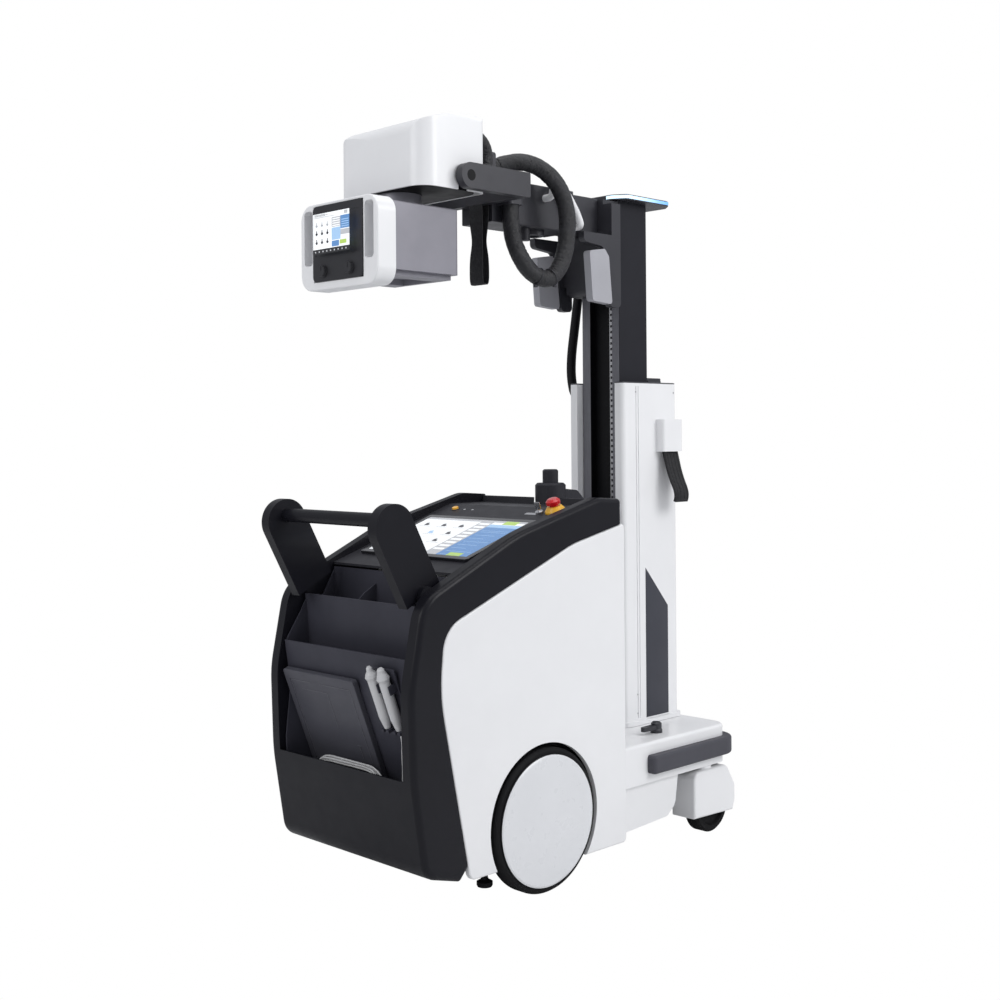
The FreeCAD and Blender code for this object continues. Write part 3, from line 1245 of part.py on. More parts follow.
def make_hand_switches():
    """Two hand switches that hang in the holder, side by side."""
    for name, y, push in (("hand_switch_right", d.switch_right_y, 9),
                          ("hand_switch_left", d.switch_left_y, 7)):
        switch = new_body(name)
        radius, long = d.switch_radius, d.switch_length
        turned(switch, "z", [(0, 0), (0, 8), (10, radius - 3), (30, radius), (long - 30, radius),
                             (long - 22, radius + 3), (long - 14, radius), (long - 8, push + 1),
                             (long, push), (long + 4, push - 3), (long + 4, 0)])
        place(switch, -d.switch_x, -y, d.switch_z, turn=((0, -1, 0), d.lean))
        node(switch, name)


def make_switch_cord():
    """The white cord from the right hand switch, and its coil in the lowest bin."""
    x, y, z = -d.switch_x + 0.2, -d.switch_right_y, d.switch_z - 0.4
    tall = 77 - d.coil_radius
    wide = 150 - d.coil_radius
    middle = at(-379, 30, d.bin_floor + d.bin_wall + tall - 1.7 + d.coil_radius)
    side, x2 = middle.y - wide - d.coil_radius - 0.3, middle.x
    route = [(x, y, z), (x + 9, y, z - 24), (x + 9, y + 1, 392), (x2 + 1, y + 4, 350),
             (x2, y + 6, 318), (x2, y + 14, 288), (x2, y + 32, middle.z), (x2, side, middle.z)]
    shaped("switch_cord", cord(route, d.switch_cord, "switch_cord"))
    tall, wide = tall.value, wide.value
    bend = tall - 2
    left, right = middle.y - wide + bend, middle.y + wide - bend
    low, high = middle.z - bend, middle.z + bend
    x = middle.x
    edges = [Part.LineSegment(Vector(x, left, high), Vector(x, right, high)).toShape(),
             Part.Arc(Vector(x, right, high), Vector(x, right + bend, middle.z),
                      Vector(x, right, low)).toShape(),
             Part.LineSegment(Vector(x, right, low), Vector(x, left, low)).toShape(),
             Part.Arc(Vector(x, left, low), Vector(x, left - bend, middle.z),
                      Vector(x, left, high)).toShape()]
    path = Part.Wire(edges)
    ring = Part.Wire(Part.makeCircle(d.coil_radius.value, Vector(x, left, high), Vector(0, 1, 0)))
    shaped("cord_coil", path.makePipeShell([ring], True, False))


make_side_covers()
make_rear_cheeks()
make_lower_panel()
make_storage_bin()
make_console()
make_touch_screen()
make_console_controls()
make_dock_post()
make_handle()
make_chassis()
make_inner_units()
make_rear_feet()
make_drive_wheels()
make_casters()
make_base_skirt()
make_deck_cover()
make_bumper()
make_turntable()
make_lock_knob()
make_outer_column()
make_column_strap()
make_mast()
make_mast_cap()
make_carriage()
make_arm()
make_arm_hoop()
make_yoke()
make_tube_cover()
make_tube_housing()
make_collimator()
make_display()
make_cords()
make_detector()
make_hand_switches()
make_switch_cord()
doc.recompute()


# Every feature and every sub-part is tested before anything is written

def check_features():
    for thing in doc.Objects:
        if "Invalid" in thing.State or "Error" in thing.State:
            raise RuntimeError(f"{thing.Name} ({thing.Label}) failed: {thing.State}")
        if thing.TypeId == "PartDesign::Pocket":
            before = thing.getParentGeoFeatureGroup()
            base = thing.BaseFeature
            if base is not None and thing.Shape.Volume >= base.Shape.Volume - 0.001:
                raise RuntimeError(f"{thing.Name} in {before.Label} cuts nothing")


check_features()
os.makedirs("parts", exist_ok=True)
for label, thing in NODES.items():
    shape = thing.Shape
    if shape.isNull() or not shape.isValid() or not shape.Solids:
        raise RuntimeError(f"{label} has no valid solid")
    shape.exportStep(f"parts/{label}.step")
print(len(NODES), "nodes written")
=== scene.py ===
"""Mobile x-ray machine: finishes for its CAD nodes and the fine pieces on them, in metres."""

import math
import random

import bmesh
import bpy
from mathutils import Matrix, Vector, noise


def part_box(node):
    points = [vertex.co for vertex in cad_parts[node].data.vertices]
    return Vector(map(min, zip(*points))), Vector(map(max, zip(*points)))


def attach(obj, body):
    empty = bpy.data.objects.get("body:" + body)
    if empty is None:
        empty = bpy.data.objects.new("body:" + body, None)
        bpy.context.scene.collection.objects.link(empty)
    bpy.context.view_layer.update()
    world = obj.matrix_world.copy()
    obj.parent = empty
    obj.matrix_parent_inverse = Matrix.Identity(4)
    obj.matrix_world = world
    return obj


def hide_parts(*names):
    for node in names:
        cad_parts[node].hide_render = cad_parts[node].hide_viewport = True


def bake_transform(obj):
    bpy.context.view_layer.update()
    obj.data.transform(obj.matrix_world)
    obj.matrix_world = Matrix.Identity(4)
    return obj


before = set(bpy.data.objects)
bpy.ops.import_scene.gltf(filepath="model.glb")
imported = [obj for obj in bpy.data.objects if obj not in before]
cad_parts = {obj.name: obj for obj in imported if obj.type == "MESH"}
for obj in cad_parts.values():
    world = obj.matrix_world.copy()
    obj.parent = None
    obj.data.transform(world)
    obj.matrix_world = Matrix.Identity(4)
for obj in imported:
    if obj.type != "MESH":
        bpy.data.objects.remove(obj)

bl_info = {
    "name": "Mobile x-ray machine",
    "version": (1, 0, 0),
    "blender": (4, 5, 0),
    "location": "View3D > Sidebar > X-ray",
    "description": "Finishes and fine pieces of a mobile x-ray machine",
    "category": "Object",
}

AXLE = -0.1515  # the drive axle's place along X in the row frame
SLOPE = math.atan2(948 - 811, 158 + 258)  # the console's lean


# ---------------------------------------------------------------- settings


class XRAY_PG_fabric(bpy.types.PropertyGroup):
    """Sizes of the padded sleeves and the straps"""

    wrinkle: bpy.props.FloatProperty(
        name="Wrinkle depth",
        description="How deep the creases of a sleeve are on the inside of a bend",
        default=0.0026,
        min=0.0,
        max=0.005,
        unit="LENGTH",
    )
    ring_gap: bpy.props.FloatProperty(
        name="Ring spacing",
        description="Distance between the rings of a sleeve's mesh",
        default=0.0022,
        min=0.001,
        max=0.01,
        unit="LENGTH",
    )
    strap_thickness: bpy.props.FloatProperty(
        name="Strap thickness",
        description="Thickness of the hanging strap",
        default=0.0026,
        min=0.001,
        max=0.006,
        unit="LENGTH",
    )
    coil_turns: bpy.props.IntProperty(
        name="Coil turns",
        description="Turns of the hand switch cord in the lowest bin",
        default=5,
        min=1,
        max=5,
    )


class XRAY_PG_graphics(bpy.types.PropertyGroup):
    """Sizes of the graphics on the two screens"""

    layer: bpy.props.FloatProperty(
        name="Layer height",
        description="How far each layer of a screen's picture stands above the one below",
        default=0.00008,
        min=0.00002,
        max=0.0002,
        unit="LENGTH",
    )
    glow: bpy.props.FloatProperty(
        name="Glow",
        description="Light given off by the screens",
        default=0.55,
        min=0.0,
        max=3.0,
    )


class XRAY_PG_studio(bpy.types.PropertyGroup):
    """Camera and lights of the product picture"""

    lens: bpy.props.FloatProperty(
        name="Lens",
        description="Focal length on a 36 mm sensor",
        default=49.08,
        min=20.0,
        max=120.0,
        unit="CAMERA",
    )
    key_power: bpy.props.FloatProperty(
        name="Key light",
        description="Power of the large light at the right",
        default=108.0,
        min=0.0,
        max=1000.0,
        unit="POWER",
    )
    top_power: bpy.props.FloatProperty(
        name="Top light",
        description="Power of the light above the machine",
        default=58.0,
        min=0.0,
        max=1000.0,
        unit="POWER",
    )
    fill_power: bpy.props.FloatProperty(
        name="Fill light",
        description="Power of the light at the left, towards the console",
        default=42.0,
        min=0.0,
        max=1000.0,
        unit="POWER",
    )
    sky: bpy.props.FloatProperty(
        name="Room light",
        description="Strength of the even light from all round",
        default=0.54,
        min=0.0,
        max=2.0,
    )


GROUPS = {
    "xray_fabric": XRAY_PG_fabric,
    "xray_graphics": XRAY_PG_graphics,
    "xray_studio": XRAY_PG_studio,
}


# ---------------------------------------------------------------- places and shapes


def at(x, y, z):
    """A point given in millimetres from the drive axle, in the row frame in metres."""
    return Vector((x / 1000 + AXLE, y / 1000, z / 1000))


def square(origin, right, up):
    """The matrix of a flat board seen from outside: x to the right, y up, z towards the viewer."""
    right, up = Vector(right).normalized(), Vector(up).normalized()
    out = right.cross(up)
    return Matrix.Translation(origin) @ Matrix((right, up, out)).transposed().to_4x4()


def level(node, out, low=None, high=None):
    """How far the vertices of a CAD node reach along out, inside an optional box."""
    reach = [
        v.co.dot(out)
        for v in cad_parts[node].data.vertices
        if low is None or all(a <= c <= b for a, c, b in zip(low, v.co, high))
    ]
    return max(reach)


def outline(x0, y0, x1, y1, r=0.0, steps=5):
    """The corners of a rectangle with round corners, anticlockwise."""
    if r <= 0:
        return [(x0, y0), (x1, y0), (x1, y1), (x0, y1)]
    made = []
    for cx, cy, start in (
        (x1 - r, y0 + r, -90),
        (x1 - r, y1 - r, 0),
        (x0 + r, y1 - r, 90),
        (x0 + r, y0 + r, 180),
    ):
        for i in range(steps + 1):
            a = math.radians(start + 90 * i / steps)
            made.append((cx + r * math.cos(a), cy + r * math.sin(a)))
    return made


def oval(cx, cy, rx, ry, steps=24):
    """The points of an ellipse, anticlockwise."""
    return [
        (cx + rx * math.cos(a), cy + ry * math.sin(a))
        for a in (math.tau * i / steps for i in range(steps))
    ]


def round_edges(bm, edges, offset):
    """Round these edges off in three steps."""
    bmesh.ops.bevel(
        bm, geom=list(edges), offset=offset, offset_type="OFFSET", segments=3, profile=0.5,
        affect="EDGES", material=-1,
    )


def add_prism(bm, points, depth, place, bevel=0.0, foot=0.0):
    """A flat outline raised from foot by depth along the board's z, with its upper rim rounded."""
    base = [bm.verts.new(place @ Vector((x, y, foot))) for x, y in points]
    face = bm.faces.new(base)
    made = bmesh.ops.extrude_face_region(bm, geom=[face])["geom"]
    top = [g for g in made if isinstance(g, bmesh.types.BMVert)]
    rise = place.to_3x3() @ Vector((0, 0, depth))
    bmesh.ops.translate(bm, vec=rise, verts=top)
    upper = [g for g in made if isinstance(g, bmesh.types.BMFace)]
    if bevel:
        round_edges(bm, {e for f in upper for e in f.edges}, bevel)


def add_block(bm, low, high, bevel=0.0, turn=None):
    """A block between two corners, all its edges rounded."""
    low, high = Vector(low), Vector(high)
    centre, size = (low + high) / 2, high - low
    scale = Matrix.Diagonal((*size, 1.0))
    place = Matrix.Translation(centre) @ (turn or Matrix.Identity(4)) @ scale
    made = bmesh.ops.create_cube(bm, size=1, matrix=place)["verts"]
    if bevel:
        round_edges(bm, {e for v in made for e in v.link_edges}, bevel)


def turned(profile, place, steps=48):
    """A new bmesh with one turned shape: (radius, height) pairs spun round the board's z axis."""
    bm = bmesh.new()
    verts = [bm.verts.new((r, 0, h)) for r, h in profile]
    edges = [bm.edges.new(pair) for pair in zip(verts, verts[1:])]
    bmesh.ops.spin(
        bm, geom=verts + edges, cent=(0, 0, 0), axis=(0, 0, 1), angle=math.tau, steps=steps, use_merge=True
    )
    bmesh.ops.remove_doubles(bm, verts=bm.verts, dist=1e-6)
    bm.transform(place)
    return bm


def frames(path):
    """Tangent and two side directions at each point of a path, turned as little as possible."""
    tangents = []
    for i in range(len(path)):
        a, b = path[max(i - 1, 0)], path[min(i + 1, len(path) - 1)]
        tangents.append((b - a).normalized())
    side = tangents[0].orthogonal().normalized()
    made = []
    for i, t in enumerate(tangents):
        if i:
            side = tangents[i - 1].rotation_difference(t) @ side
            side = (side - t * side.dot(t)).normalized()
        made.append((t, side, t.cross(side)))
    return made


def add_tube(bm, path, radius, sides=24):
    """A closed tube round a path. radius is a number, or a function of the point and the direction."""
    rings = []
    for i, (p, (_, u, v)) in enumerate(zip(path, frames(path))):
        ring = []
        for k in range(sides):
            a = math.tau * k / sides
            way = u * math.cos(a) + v * math.sin(a)
            r = radius(i, way, a) if callable(radius) else radius
            ring.append(bm.verts.new(p + way * r))
        rings.append(ring)
    for low, high in zip(rings, rings[1:]):
        for k in range(sides):
            n = (k + 1) % sides
            bm.faces.new((low[k], low[n], high[n], high[k]))
    bm.faces.new(list(reversed(rings[0])))
    bm.faces.new(rings[-1])


def even(path, gap):
    """The same path with points at one spacing."""
    lengths = [0.0]
    for a, b in zip(path, path[1:]):
        lengths.append(lengths[-1] + (b - a).length)
    count = max(2, round(lengths[-1] / gap))
    made, k = [], 0
    for i in range(count + 1):
        s = lengths[-1] * i / count
        while k < len(lengths) - 2 and lengths[k + 1] < s:
            k += 1
        span = lengths[k + 1] - lengths[k] or 1.0
        made.append(path[k].lerp(path[k + 1], (s - lengths[k]) / span))
    return made


def long(path):
    """The length of a path."""
    return sum((b - a).length for a, b in zip(path, path[1:]))


def spline(name, points, radius=0.0):
    """A NURBS curve of order 3 with these control points and, with a radius, a round section."""
    data = bpy.data.curves.new(name, "CURVE")
    data.dimensions = "3D"
    data.resolution_u = 16
    data.bevel_depth = radius
    data.bevel_resolution = 5
    data.use_fill_caps = True
    line = data.splines.new("NURBS")
    line.points.add(len(points) - 1)
    for spot, p in zip(line.points, points):
        spot.co = (*p, 1)
    line.order_u = 3
    line.use_endpoint_u = True
    obj = bpy.data.objects.new(name, data)
    bpy.context.scene.collection.objects.link(obj)
    return obj


def centreline(points):
    """The line that a NURBS curve of order 3 draws through these control points."""
    obj = spline("route", points)
    mesh = bpy.data.meshes.new_from_object(obj)
    path = [v.co.copy() for v in mesh.vertices]
    bpy.data.meshes.remove(mesh)
    bpy.data.objects.remove(obj)
    if (path[0] - Vector(points[0])).length > (path[-1] - Vector(points[0])).length:
        path.reverse()
    return path


def piece(name, bm, finish, body, sharp=35):
    """A mesh object from bm, with its finish, riding on a CAD body."""
    bmesh.ops.recalc_face_normals(bm, faces=bm.faces)
    mesh = bpy.data.meshes.new(name)
    bm.to_mesh(mesh)
    bm.free()
    mesh.shade_smooth()
    mesh.set_sharp_from_angle(angle=math.radians(sharp))
    obj = bpy.data.objects.new(name, mesh)
    bpy.context.scene.collection.objects.link(obj)
    mesh.materials.append(finish)
    if body:
        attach(obj, body)
    return obj


# ---------------------------------------------------------------- finishes


class Wiring:
    """Nodes of one material, with short names for the usual links."""

    def __init__(self, name):
        self.material = bpy.data.materials.new(name)
        self.material.use_nodes = True
        self.tree = self.material.node_tree
        self.shader = self.tree.nodes["Principled BSDF"]
        self.place = self.node("ShaderNodeTexCoord").outputs["Object"]

    def node(self, kind, **settings):
        made = self.tree.nodes.new(kind)
        for key, value in settings.items():
            setattr(made, key, value)
        return made

    def link(self, source, target):
        self.tree.links.new(source, target)

    def noise(self, scale, detail=3.0, rough=0.55, stretch=None):
        made = self.node("ShaderNodeTexNoise")
        made.inputs["Scale"].default_value = scale
        made.inputs["Detail"].default_value = detail
        made.inputs["Roughness"].default_value = rough
        source = self.place
        if stretch:
            bend = self.node("ShaderNodeMapping")
            bend.inputs["Scale"].default_value = stretch
            self.link(self.place, bend.inputs["Vector"])
            source = bend.outputs["Vector"]
        self.link(source, made.inputs["Vector"])
        return made.outputs["Fac"]

    def spread(self, source, low, high, start=0.3, end=0.7):
        made = self.node("ShaderNodeMapRange")
        for key, value in (
            ("From Min", start),
            ("From Max", end),
            ("To Min", low),
            ("To Max", high),
        ):
            made.inputs[key].default_value = value
        self.link(source, made.inputs["Value"])
        return made.outputs["Result"]

    def sums(self, operation, a, b):
        made = self.node("ShaderNodeMath", operation=operation)
        for socket, value in zip(made.inputs, (a, b)):
            if isinstance(value, (int, float)):
                socket.default_value = value
            else:
                self.link(value, socket)
        return made.outputs[0]

    def mix(self, factor, a, b):
        made = self.node("ShaderNodeMix", data_type="RGBA")
        for socket, value in ((made.inputs[6], a), (made.inputs[7], b)):
            if isinstance(value, (tuple, list)):
                socket.default_value = (*value, 1.0)
            else:
                self.link(value, socket)
        if isinstance(factor, (int, float)):
            made.inputs[0].default_value = factor
        else:
            self.link(factor, made.inputs[0])
        return made.outputs[2]

    def axes(self):
        made = self.node("ShaderNodeSeparateXYZ")
        self.link(self.place, made.inputs[0])
        return made.outputs

    def bump(self, source, strength, distance):
        made = self.node("ShaderNodeBump")
        made.inputs["Strength"].default_value = strength
        made.inputs["Distance"].default_value = distance
        self.link(source, made.inputs["Height"])
        self.link(made.outputs["Normal"], self.shader.inputs["Normal"])


def shade(colour, change):
    """A colour made lighter or darker by a share."""
    return tuple(min(1.0, c * (1 + change)) for c in colour)


def finish(
    name,
    colour,
    rough,
    metal=0.0,
    spread=0.05,
    cloud=9.0,
    grain=900.0,
    bump=0.05,
    depth=0.0001,
    coat=0.0,
    glow=0.0,
    zones=None,
):
    """A procedural finish: clouded colour, uneven roughness, a fine grain. zones repaints by place."""
    name = f"{name}_finish"  # the loaded frame has flat materials under the plain slot names
    found = bpy.data.materials.get(name)
    if found:
        return found
    w = Wiring(name)
    clouds = w.spread(w.noise(cloud), 0.0, 1.0)
    paint = w.mix(clouds, shade(colour, -spread), shade(colour, spread))
    if zones:
        paint = zones(w, paint)
    w.link(paint, w.shader.inputs["Base Color"])
    smear = w.noise(cloud * 3, 4.0)
    w.link(
        w.spread(smear, max(0.02, rough - 0.05), min(1.0, rough + 0.05)),
        w.shader.inputs["Roughness"],
    )
    w.shader.inputs["Metallic"].default_value = metal
    w.shader.inputs["Coat Weight"].default_value = coat
    if max(colour) < 0.1 and not metal:
        w.shader.inputs["Specular IOR Level"].default_value = 0.16
    w.shader.inputs["Coat Roughness"].default_value = 0.12
    if glow:
        w.link(paint, w.shader.inputs["Emission Color"])
        w.shader.inputs["Emission Strength"].default_value = glow
    w.bump(w.noise(grain, 2.0), bump, depth)
    return w.material


def leather():
    """Black padded leather: a pebbled grain under soft creases."""
    found = bpy.data.materials.get("black_leather")
    if found:
        return found
    w = Wiring("black_leather")
    clouds = w.spread(w.noise(30, 4.0), 0.0, 1.0)
    paint = w.mix(clouds, (0.0045, 0.0045, 0.006), (0.012, 0.012, 0.016))
    w.link(paint, w.shader.inputs["Base Color"])
    w.link(w.spread(w.noise(60, 4.0), 0.26, 0.46), w.shader.inputs["Roughness"])
    cells = w.node("ShaderNodeTexVoronoi", feature="DISTANCE_TO_EDGE")
    cells.inputs["Scale"].default_value = 700
    w.link(w.place, cells.inputs["Vector"])
    pebbles = w.spread(cells.outputs["Distance"], 0.0, 1.0, 0.0, 0.25)
    folds = w.spread(w.noise(110, 5.0, 0.6), 0.0, 3.0)
    w.bump(w.sums("ADD", pebbles, folds), 0.55, 0.0005)
    return w.material


def webbing(name, colour):
    """Woven strap: two crossed sets of ribs."""
    found = bpy.data.materials.get(name)
    if found:
        return found
    w = Wiring(name)
    paint = w.mix(w.spread(w.noise(80), 0.0, 1.0), shade(colour, -0.3), shade(colour, 0.3))
    w.link(paint, w.shader.inputs["Base Color"])
    w.link(w.spread(w.noise(140), 0.62, 0.82), w.shader.inputs["Roughness"])
    ribs = []
    for way in ("X", "Z"):
        wave = w.node("ShaderNodeTexWave", bands_direction=way)
        wave.inputs["Scale"].default_value = 260
        w.link(w.place, wave.inputs["Vector"])
        ribs.append(wave.outputs["Fac"])
    w.bump(w.sums("MULTIPLY", *ribs), 0.5, 0.0004)
    return w.material


def band(w, value, low, high):
    """1 where value lies between low and high, else 0."""
    return w.sums(
        "MULTIPLY",
        w.sums("GREATER_THAN", value, low),
        w.sums("LESS_THAN", value, high),
    )


def mast_zones(w, paint):
    """Brushed rails on the mast's front face, and the black channel between them."""
    x, y, _ = w.axes()
    front = 0.537 + AXLE
    rails = w.sums("LESS_THAN", x, front + 0.0006)
    inside = w.sums(
        "MULTIPLY", band(w, y, -0.0446, 0.0406), band(w, x, front + 0.0006, front + 0.026)
    )
    steel = w.mix(
        w.spread(w.noise(40, 3.0, 0.5, (1, 60, 0.5)), 0.0, 1.0),
        (0.125, 0.125, 0.14),
        (0.19, 0.19, 0.21),
    )
    return w.mix(inside, w.mix(rails, paint, steel), (0.003, 0.003, 0.004))


def lid_zones(w, paint):
    """The dark lid line round the top of the column."""
    _, _, z = w.axes()
    return w.mix(w.sums("GREATER_THAN", z, 1.2872), paint, (0.03, 0.03, 0.038))


def rim_gap_shade_zones(w, paint):
    """Painted shade: the disc is painted near black beyond the radius of its edge, standing in for the shadow
    in the thin gap round the wheel's white disc.
    """
    x, _, z = w.axes()
    across = w.sums("SUBTRACT", x, AXLE)
    up = w.sums("SUBTRACT", z, 0.18)
    radius = w.sums(
        "SQRT",
        w.sums("ADD", w.sums("MULTIPLY", across, across), w.sums("MULTIPLY", up, up)),
        0.0,
    )
    # painted shadow: near black beyond this radius stands in for the shade in the gap round the disc
    return w.mix(w.sums("GREATER_THAN", radius, 0.1632), paint, (0.004, 0.004, 0.005))


def finishes():
    """Every finish by its short name."""
    return {
        "white": finish("white_shell", (0.83, 0.832, 0.842), 0.34, spread=0.012, coat=0.25, bump=0.03),
        "column": finish(
            "column_paint", (0.83, 0.832, 0.842), 0.34, spread=0.012, coat=0.2, bump=0.03, zones=lid_zones
        ),
        # the wheel disc's finish carries a painted shadow in the gap round its edge
        "disc": finish(
            "wheel_disc_gap_shade", (0.72, 0.73, 0.75), 0.3, spread=0.012, coat=0.3, bump=0.03, zones=rim_gap_shade_zones
        ),
        "dark": finish(
            "charcoal_shell", (0.0070, 0.0070, 0.0105), 0.40, spread=0.07, coat=0.08, grain=1400, bump=0.12
        ),
        "bin": finish("charcoal_bin", (0.046, 0.046, 0.060), 0.46, spread=0.08, grain=1200, bump=0.2),
        "deck": finish("console_plastic", (0.031, 0.031, 0.037), 0.44, spread=0.07, grain=1200, bump=0.2),
        "grip": finish("grey_grip", (0.37, 0.37, 0.40), 0.5, spread=0.04, grain=800, bump=0.2),
        "silver": finish(
            "silver_paint", (0.235, 0.230, 0.262), 0.42, metal=0.25, spread=0.06, grain=600, bump=0.2
        ),
        "metal": finish(
            "dark_metal", (0.030, 0.030, 0.037), 0.42, metal=0.15, spread=0.08, grain=900, bump=0.12
        ),
        "mast": finish(
            "mast_paint", (0.016, 0.016, 0.021), 0.42, spread=0.06, grain=900, bump=0.1, zones=mast_zones
        ),
        "frame": finish(
            "frame_paint", (0.05, 0.05, 0.055), 0.5, metal=0.2, spread=0.1, grain=300, bump=0.2
        ),
        "bright": finish(
            "bright_metal", (0.62, 0.62, 0.64), 0.28, metal=1.0, spread=0.05, grain=700, bump=0.06
        ),
        "steel": finish("steel", (0.45, 0.45, 0.46), 0.35, metal=1.0, spread=0.08, grain=600, bump=0.08),
        "tyre": finish("tyre_rubber", (0.006, 0.006, 0.007), 0.66, spread=0.25, grain=500, bump=0.35),
        "bumper": finish("bumper_rubber", (0.072, 0.072, 0.085), 0.52, spread=0.06, grain=900, bump=0.25),
        "rubber": finish("foot_rubber", (0.010, 0.010, 0.011), 0.62, spread=0.2, grain=600, bump=0.3),
        "glass": finish(
            "screen_glass", (0.012, 0.012, 0.016), 0.12, spread=0.1, grain=200, bump=0.0, coat=0.8
        ),
        "panel": finish(
            "display_panel_plastic", (0.036, 0.036, 0.040), 0.36, spread=0.06, grain=1000, bump=0.15
        ),
        "cord": finish("black_cord", (0.008, 0.008, 0.010), 0.5, spread=0.2, grain=500, bump=0.3),
        "pale_cord": finish("pale_cord", (0.66, 0.66, 0.66), 0.42, spread=0.05, grain=500, bump=0.1),
        "amber": finish("amber_plastic", (0.80, 0.42, 0.05), 0.3, spread=0.08, coat=0.5, glow=0.15),
        "yellow": finish("yellow_plastic", (0.86, 0.46, 0.02), 0.36, spread=0.05, coat=0.3),
        "red": finish("red_plastic", (0.60, 0.006, 0.010), 0.26, spread=0.05, coat=0.6),
        "pale": finish("pale_plastic", (0.56, 0.56, 0.57), 0.4, spread=0.03, coat=0.15),
        "detector": finish(
            "detector_face", (0.075, 0.075, 0.090), 0.34, spread=0.06, grain=1500, bump=0.15
        ),
        "plate": finish("grey_plate", (0.055, 0.057, 0.070), 0.4, spread=0.05, grain=1200, bump=0.1),
        "black": finish("deep_black", (0.003, 0.003, 0.004), 0.5, spread=0.2),
        "leather": leather(),
        "strap": webbing("strap_webbing", (0.008, 0.008, 0.010)),
    }


NODE_FINISHES = {
    "white": "side_cover_right side_cover_left base_skirt deck_cover turntable_ring caster_shroud_right "
    "caster_shroud_left tube_cover display_frame arm_hoop",
    "column": "outer_column",
    "disc": "drive_rim_right drive_rim_left",
    "dark": "rear_cheek_right rear_cheek_left lower_rear_panel handle",
    "bin": "storage_bin",
    "deck": "console_deck dock_post",
    "glass": "touch_screen",
    "grip": "carriage_grips",
    "silver": "collimator_box",
    "metal": "carriage arm_beam arm_spar arm_tube yoke mast_cap deck_lock_knob",
    "mast": "inner_mast",
    "frame": "chassis_frame battery_pack hv_generator drive_motors",
    "bright": "key_switch",
    "steel": "rack_strip",
    "tyre": "drive_tyre_right drive_tyre_left caster_wheel_right caster_wheel_left",
    "bumper": "bumper",
    "rubber": "rear_feet",
    "panel": "display_panel knob_left knob_right",
    "amber": "power_button",
    "yellow": "stop_base",
    "red": "stop_button",
    "pale": "hand_switch_right hand_switch_left",
    "detector": "detector",
    "black": "tube_housing",
    "cord": "supply_cord",
    "leather": "sleeve_loop sleeve_top",
    "strap": "column_strap hang_strap",
    "pale_cord": "switch_cord cord_coil",
}


class XRAY_OT_dress_nodes(bpy.types.Operator):
    """Give every CAD node its procedural finish"""

    bl_idname = "xray.dress_nodes"
    bl_label = "Dress CAD nodes"

    def execute(self, context):
        known = finishes()
        for key, names in NODE_FINISHES.items():
            for name in names.split():
                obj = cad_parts[name]
                obj.data.materials.clear()
                obj.data.materials.append(known[key])
        bare = [n for n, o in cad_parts.items() if not o.data.materials]
        if bare:
            raise RuntimeError(f"nodes without a finish: {bare}")
        return {"FINISHED"}


# ---------------------------------------------------------------- screens


def graphics(name, place, size, items, body, settings):
    """Flat shapes on a screen. An item is a colour, a layer, a kind and numbers in shares of the screen."""
    width, height = size
    colours = {
        "paper": (0.80, 0.82, 0.83),
        "line": (0.42, 0.43, 0.45),
        "ink": (0.05, 0.05, 0.06),
        "grey": (0.40, 0.41, 0.43),
        "blue": (0.085, 0.21, 0.44),
        "sky": (0.30, 0.47, 0.68),
        "green": (0.36, 0.52, 0.10),
        "bar": (0.02, 0.02, 0.022),
    }
    made = {}
    for colour, layer, kind, a, b, c, d in items:
        bm = made.setdefault(colour, bmesh.new())
        if kind == "box":
            spots = outline(a, b, c, d, 0)
        else:
            spots = oval(a, b, c, d, 18)
        spots = [((x - 0.5) * width, (y - 0.5) * height) for x, y in spots]
        rise = settings.layer * (layer + 1)
        add_prism(bm, spots, rise, place)
    for colour, bm in made.items():
        paint = finish(
            f"screen_{colour}",
            colours[colour],
            0.3,
            spread=0.03,
            bump=0.0,
            coat=0.4,
            glow=settings.glow,
        )
        piece(f"{name}_{colour}", bm, paint, body)


def console_items():
    """The picture on the console's touch screen: a page of icons, a list and a worklist panel."""
    items = [
        ("paper", 0, "box", 0.0, 0.0, 1.0, 1.0),
        ("grey", 1, "box", 0.0, 0.94, 1.0, 1.0),
        ("grey", 1, "box", 0.57, 0.0, 0.70, 0.94),
        ("blue", 1, "box", 0.70, 0.0, 1.0, 0.88),
        ("sky", 2, "box", 0.70, 0.80, 1.0, 0.88),
        ("green", 2, "box", 0.80, 0.89, 0.93, 0.985),
        ("green", 2, "box", 0.80, 0.01, 0.93, 0.09),
        ("sky", 2, "box", 0.72, 0.70, 0.98, 0.705),
    ]
    for row in range(4):
        for column in range(3):
            x, y = 0.07 + column * 0.18, 0.80 - row * 0.21
            colour = "sky" if (row, column) in ((1, 1), (3, 0)) else "ink"
            items.append(("line", 1, "box", x - 0.02, y - 0.075, x + 0.10, y - 0.066))
            items.append((colour, 2, "round", x + 0.025, y, 0.017, 0.030))
            items.append((colour, 1, "box", x + 0.012, y - 0.045, x + 0.06, y - 0.012))
    for i in range(9):
        y = 0.86 - i * 0.09
        items.append(("paper", 2, "box", 0.585, y, 0.685, y + 0.045))
        items.append(("sky", 2, "box", 0.73, y - 0.20, 0.97 - 0.05 * (i % 3), y - 0.194))
    return [i for i in items if min(i[4], i[6]) > -0.001]


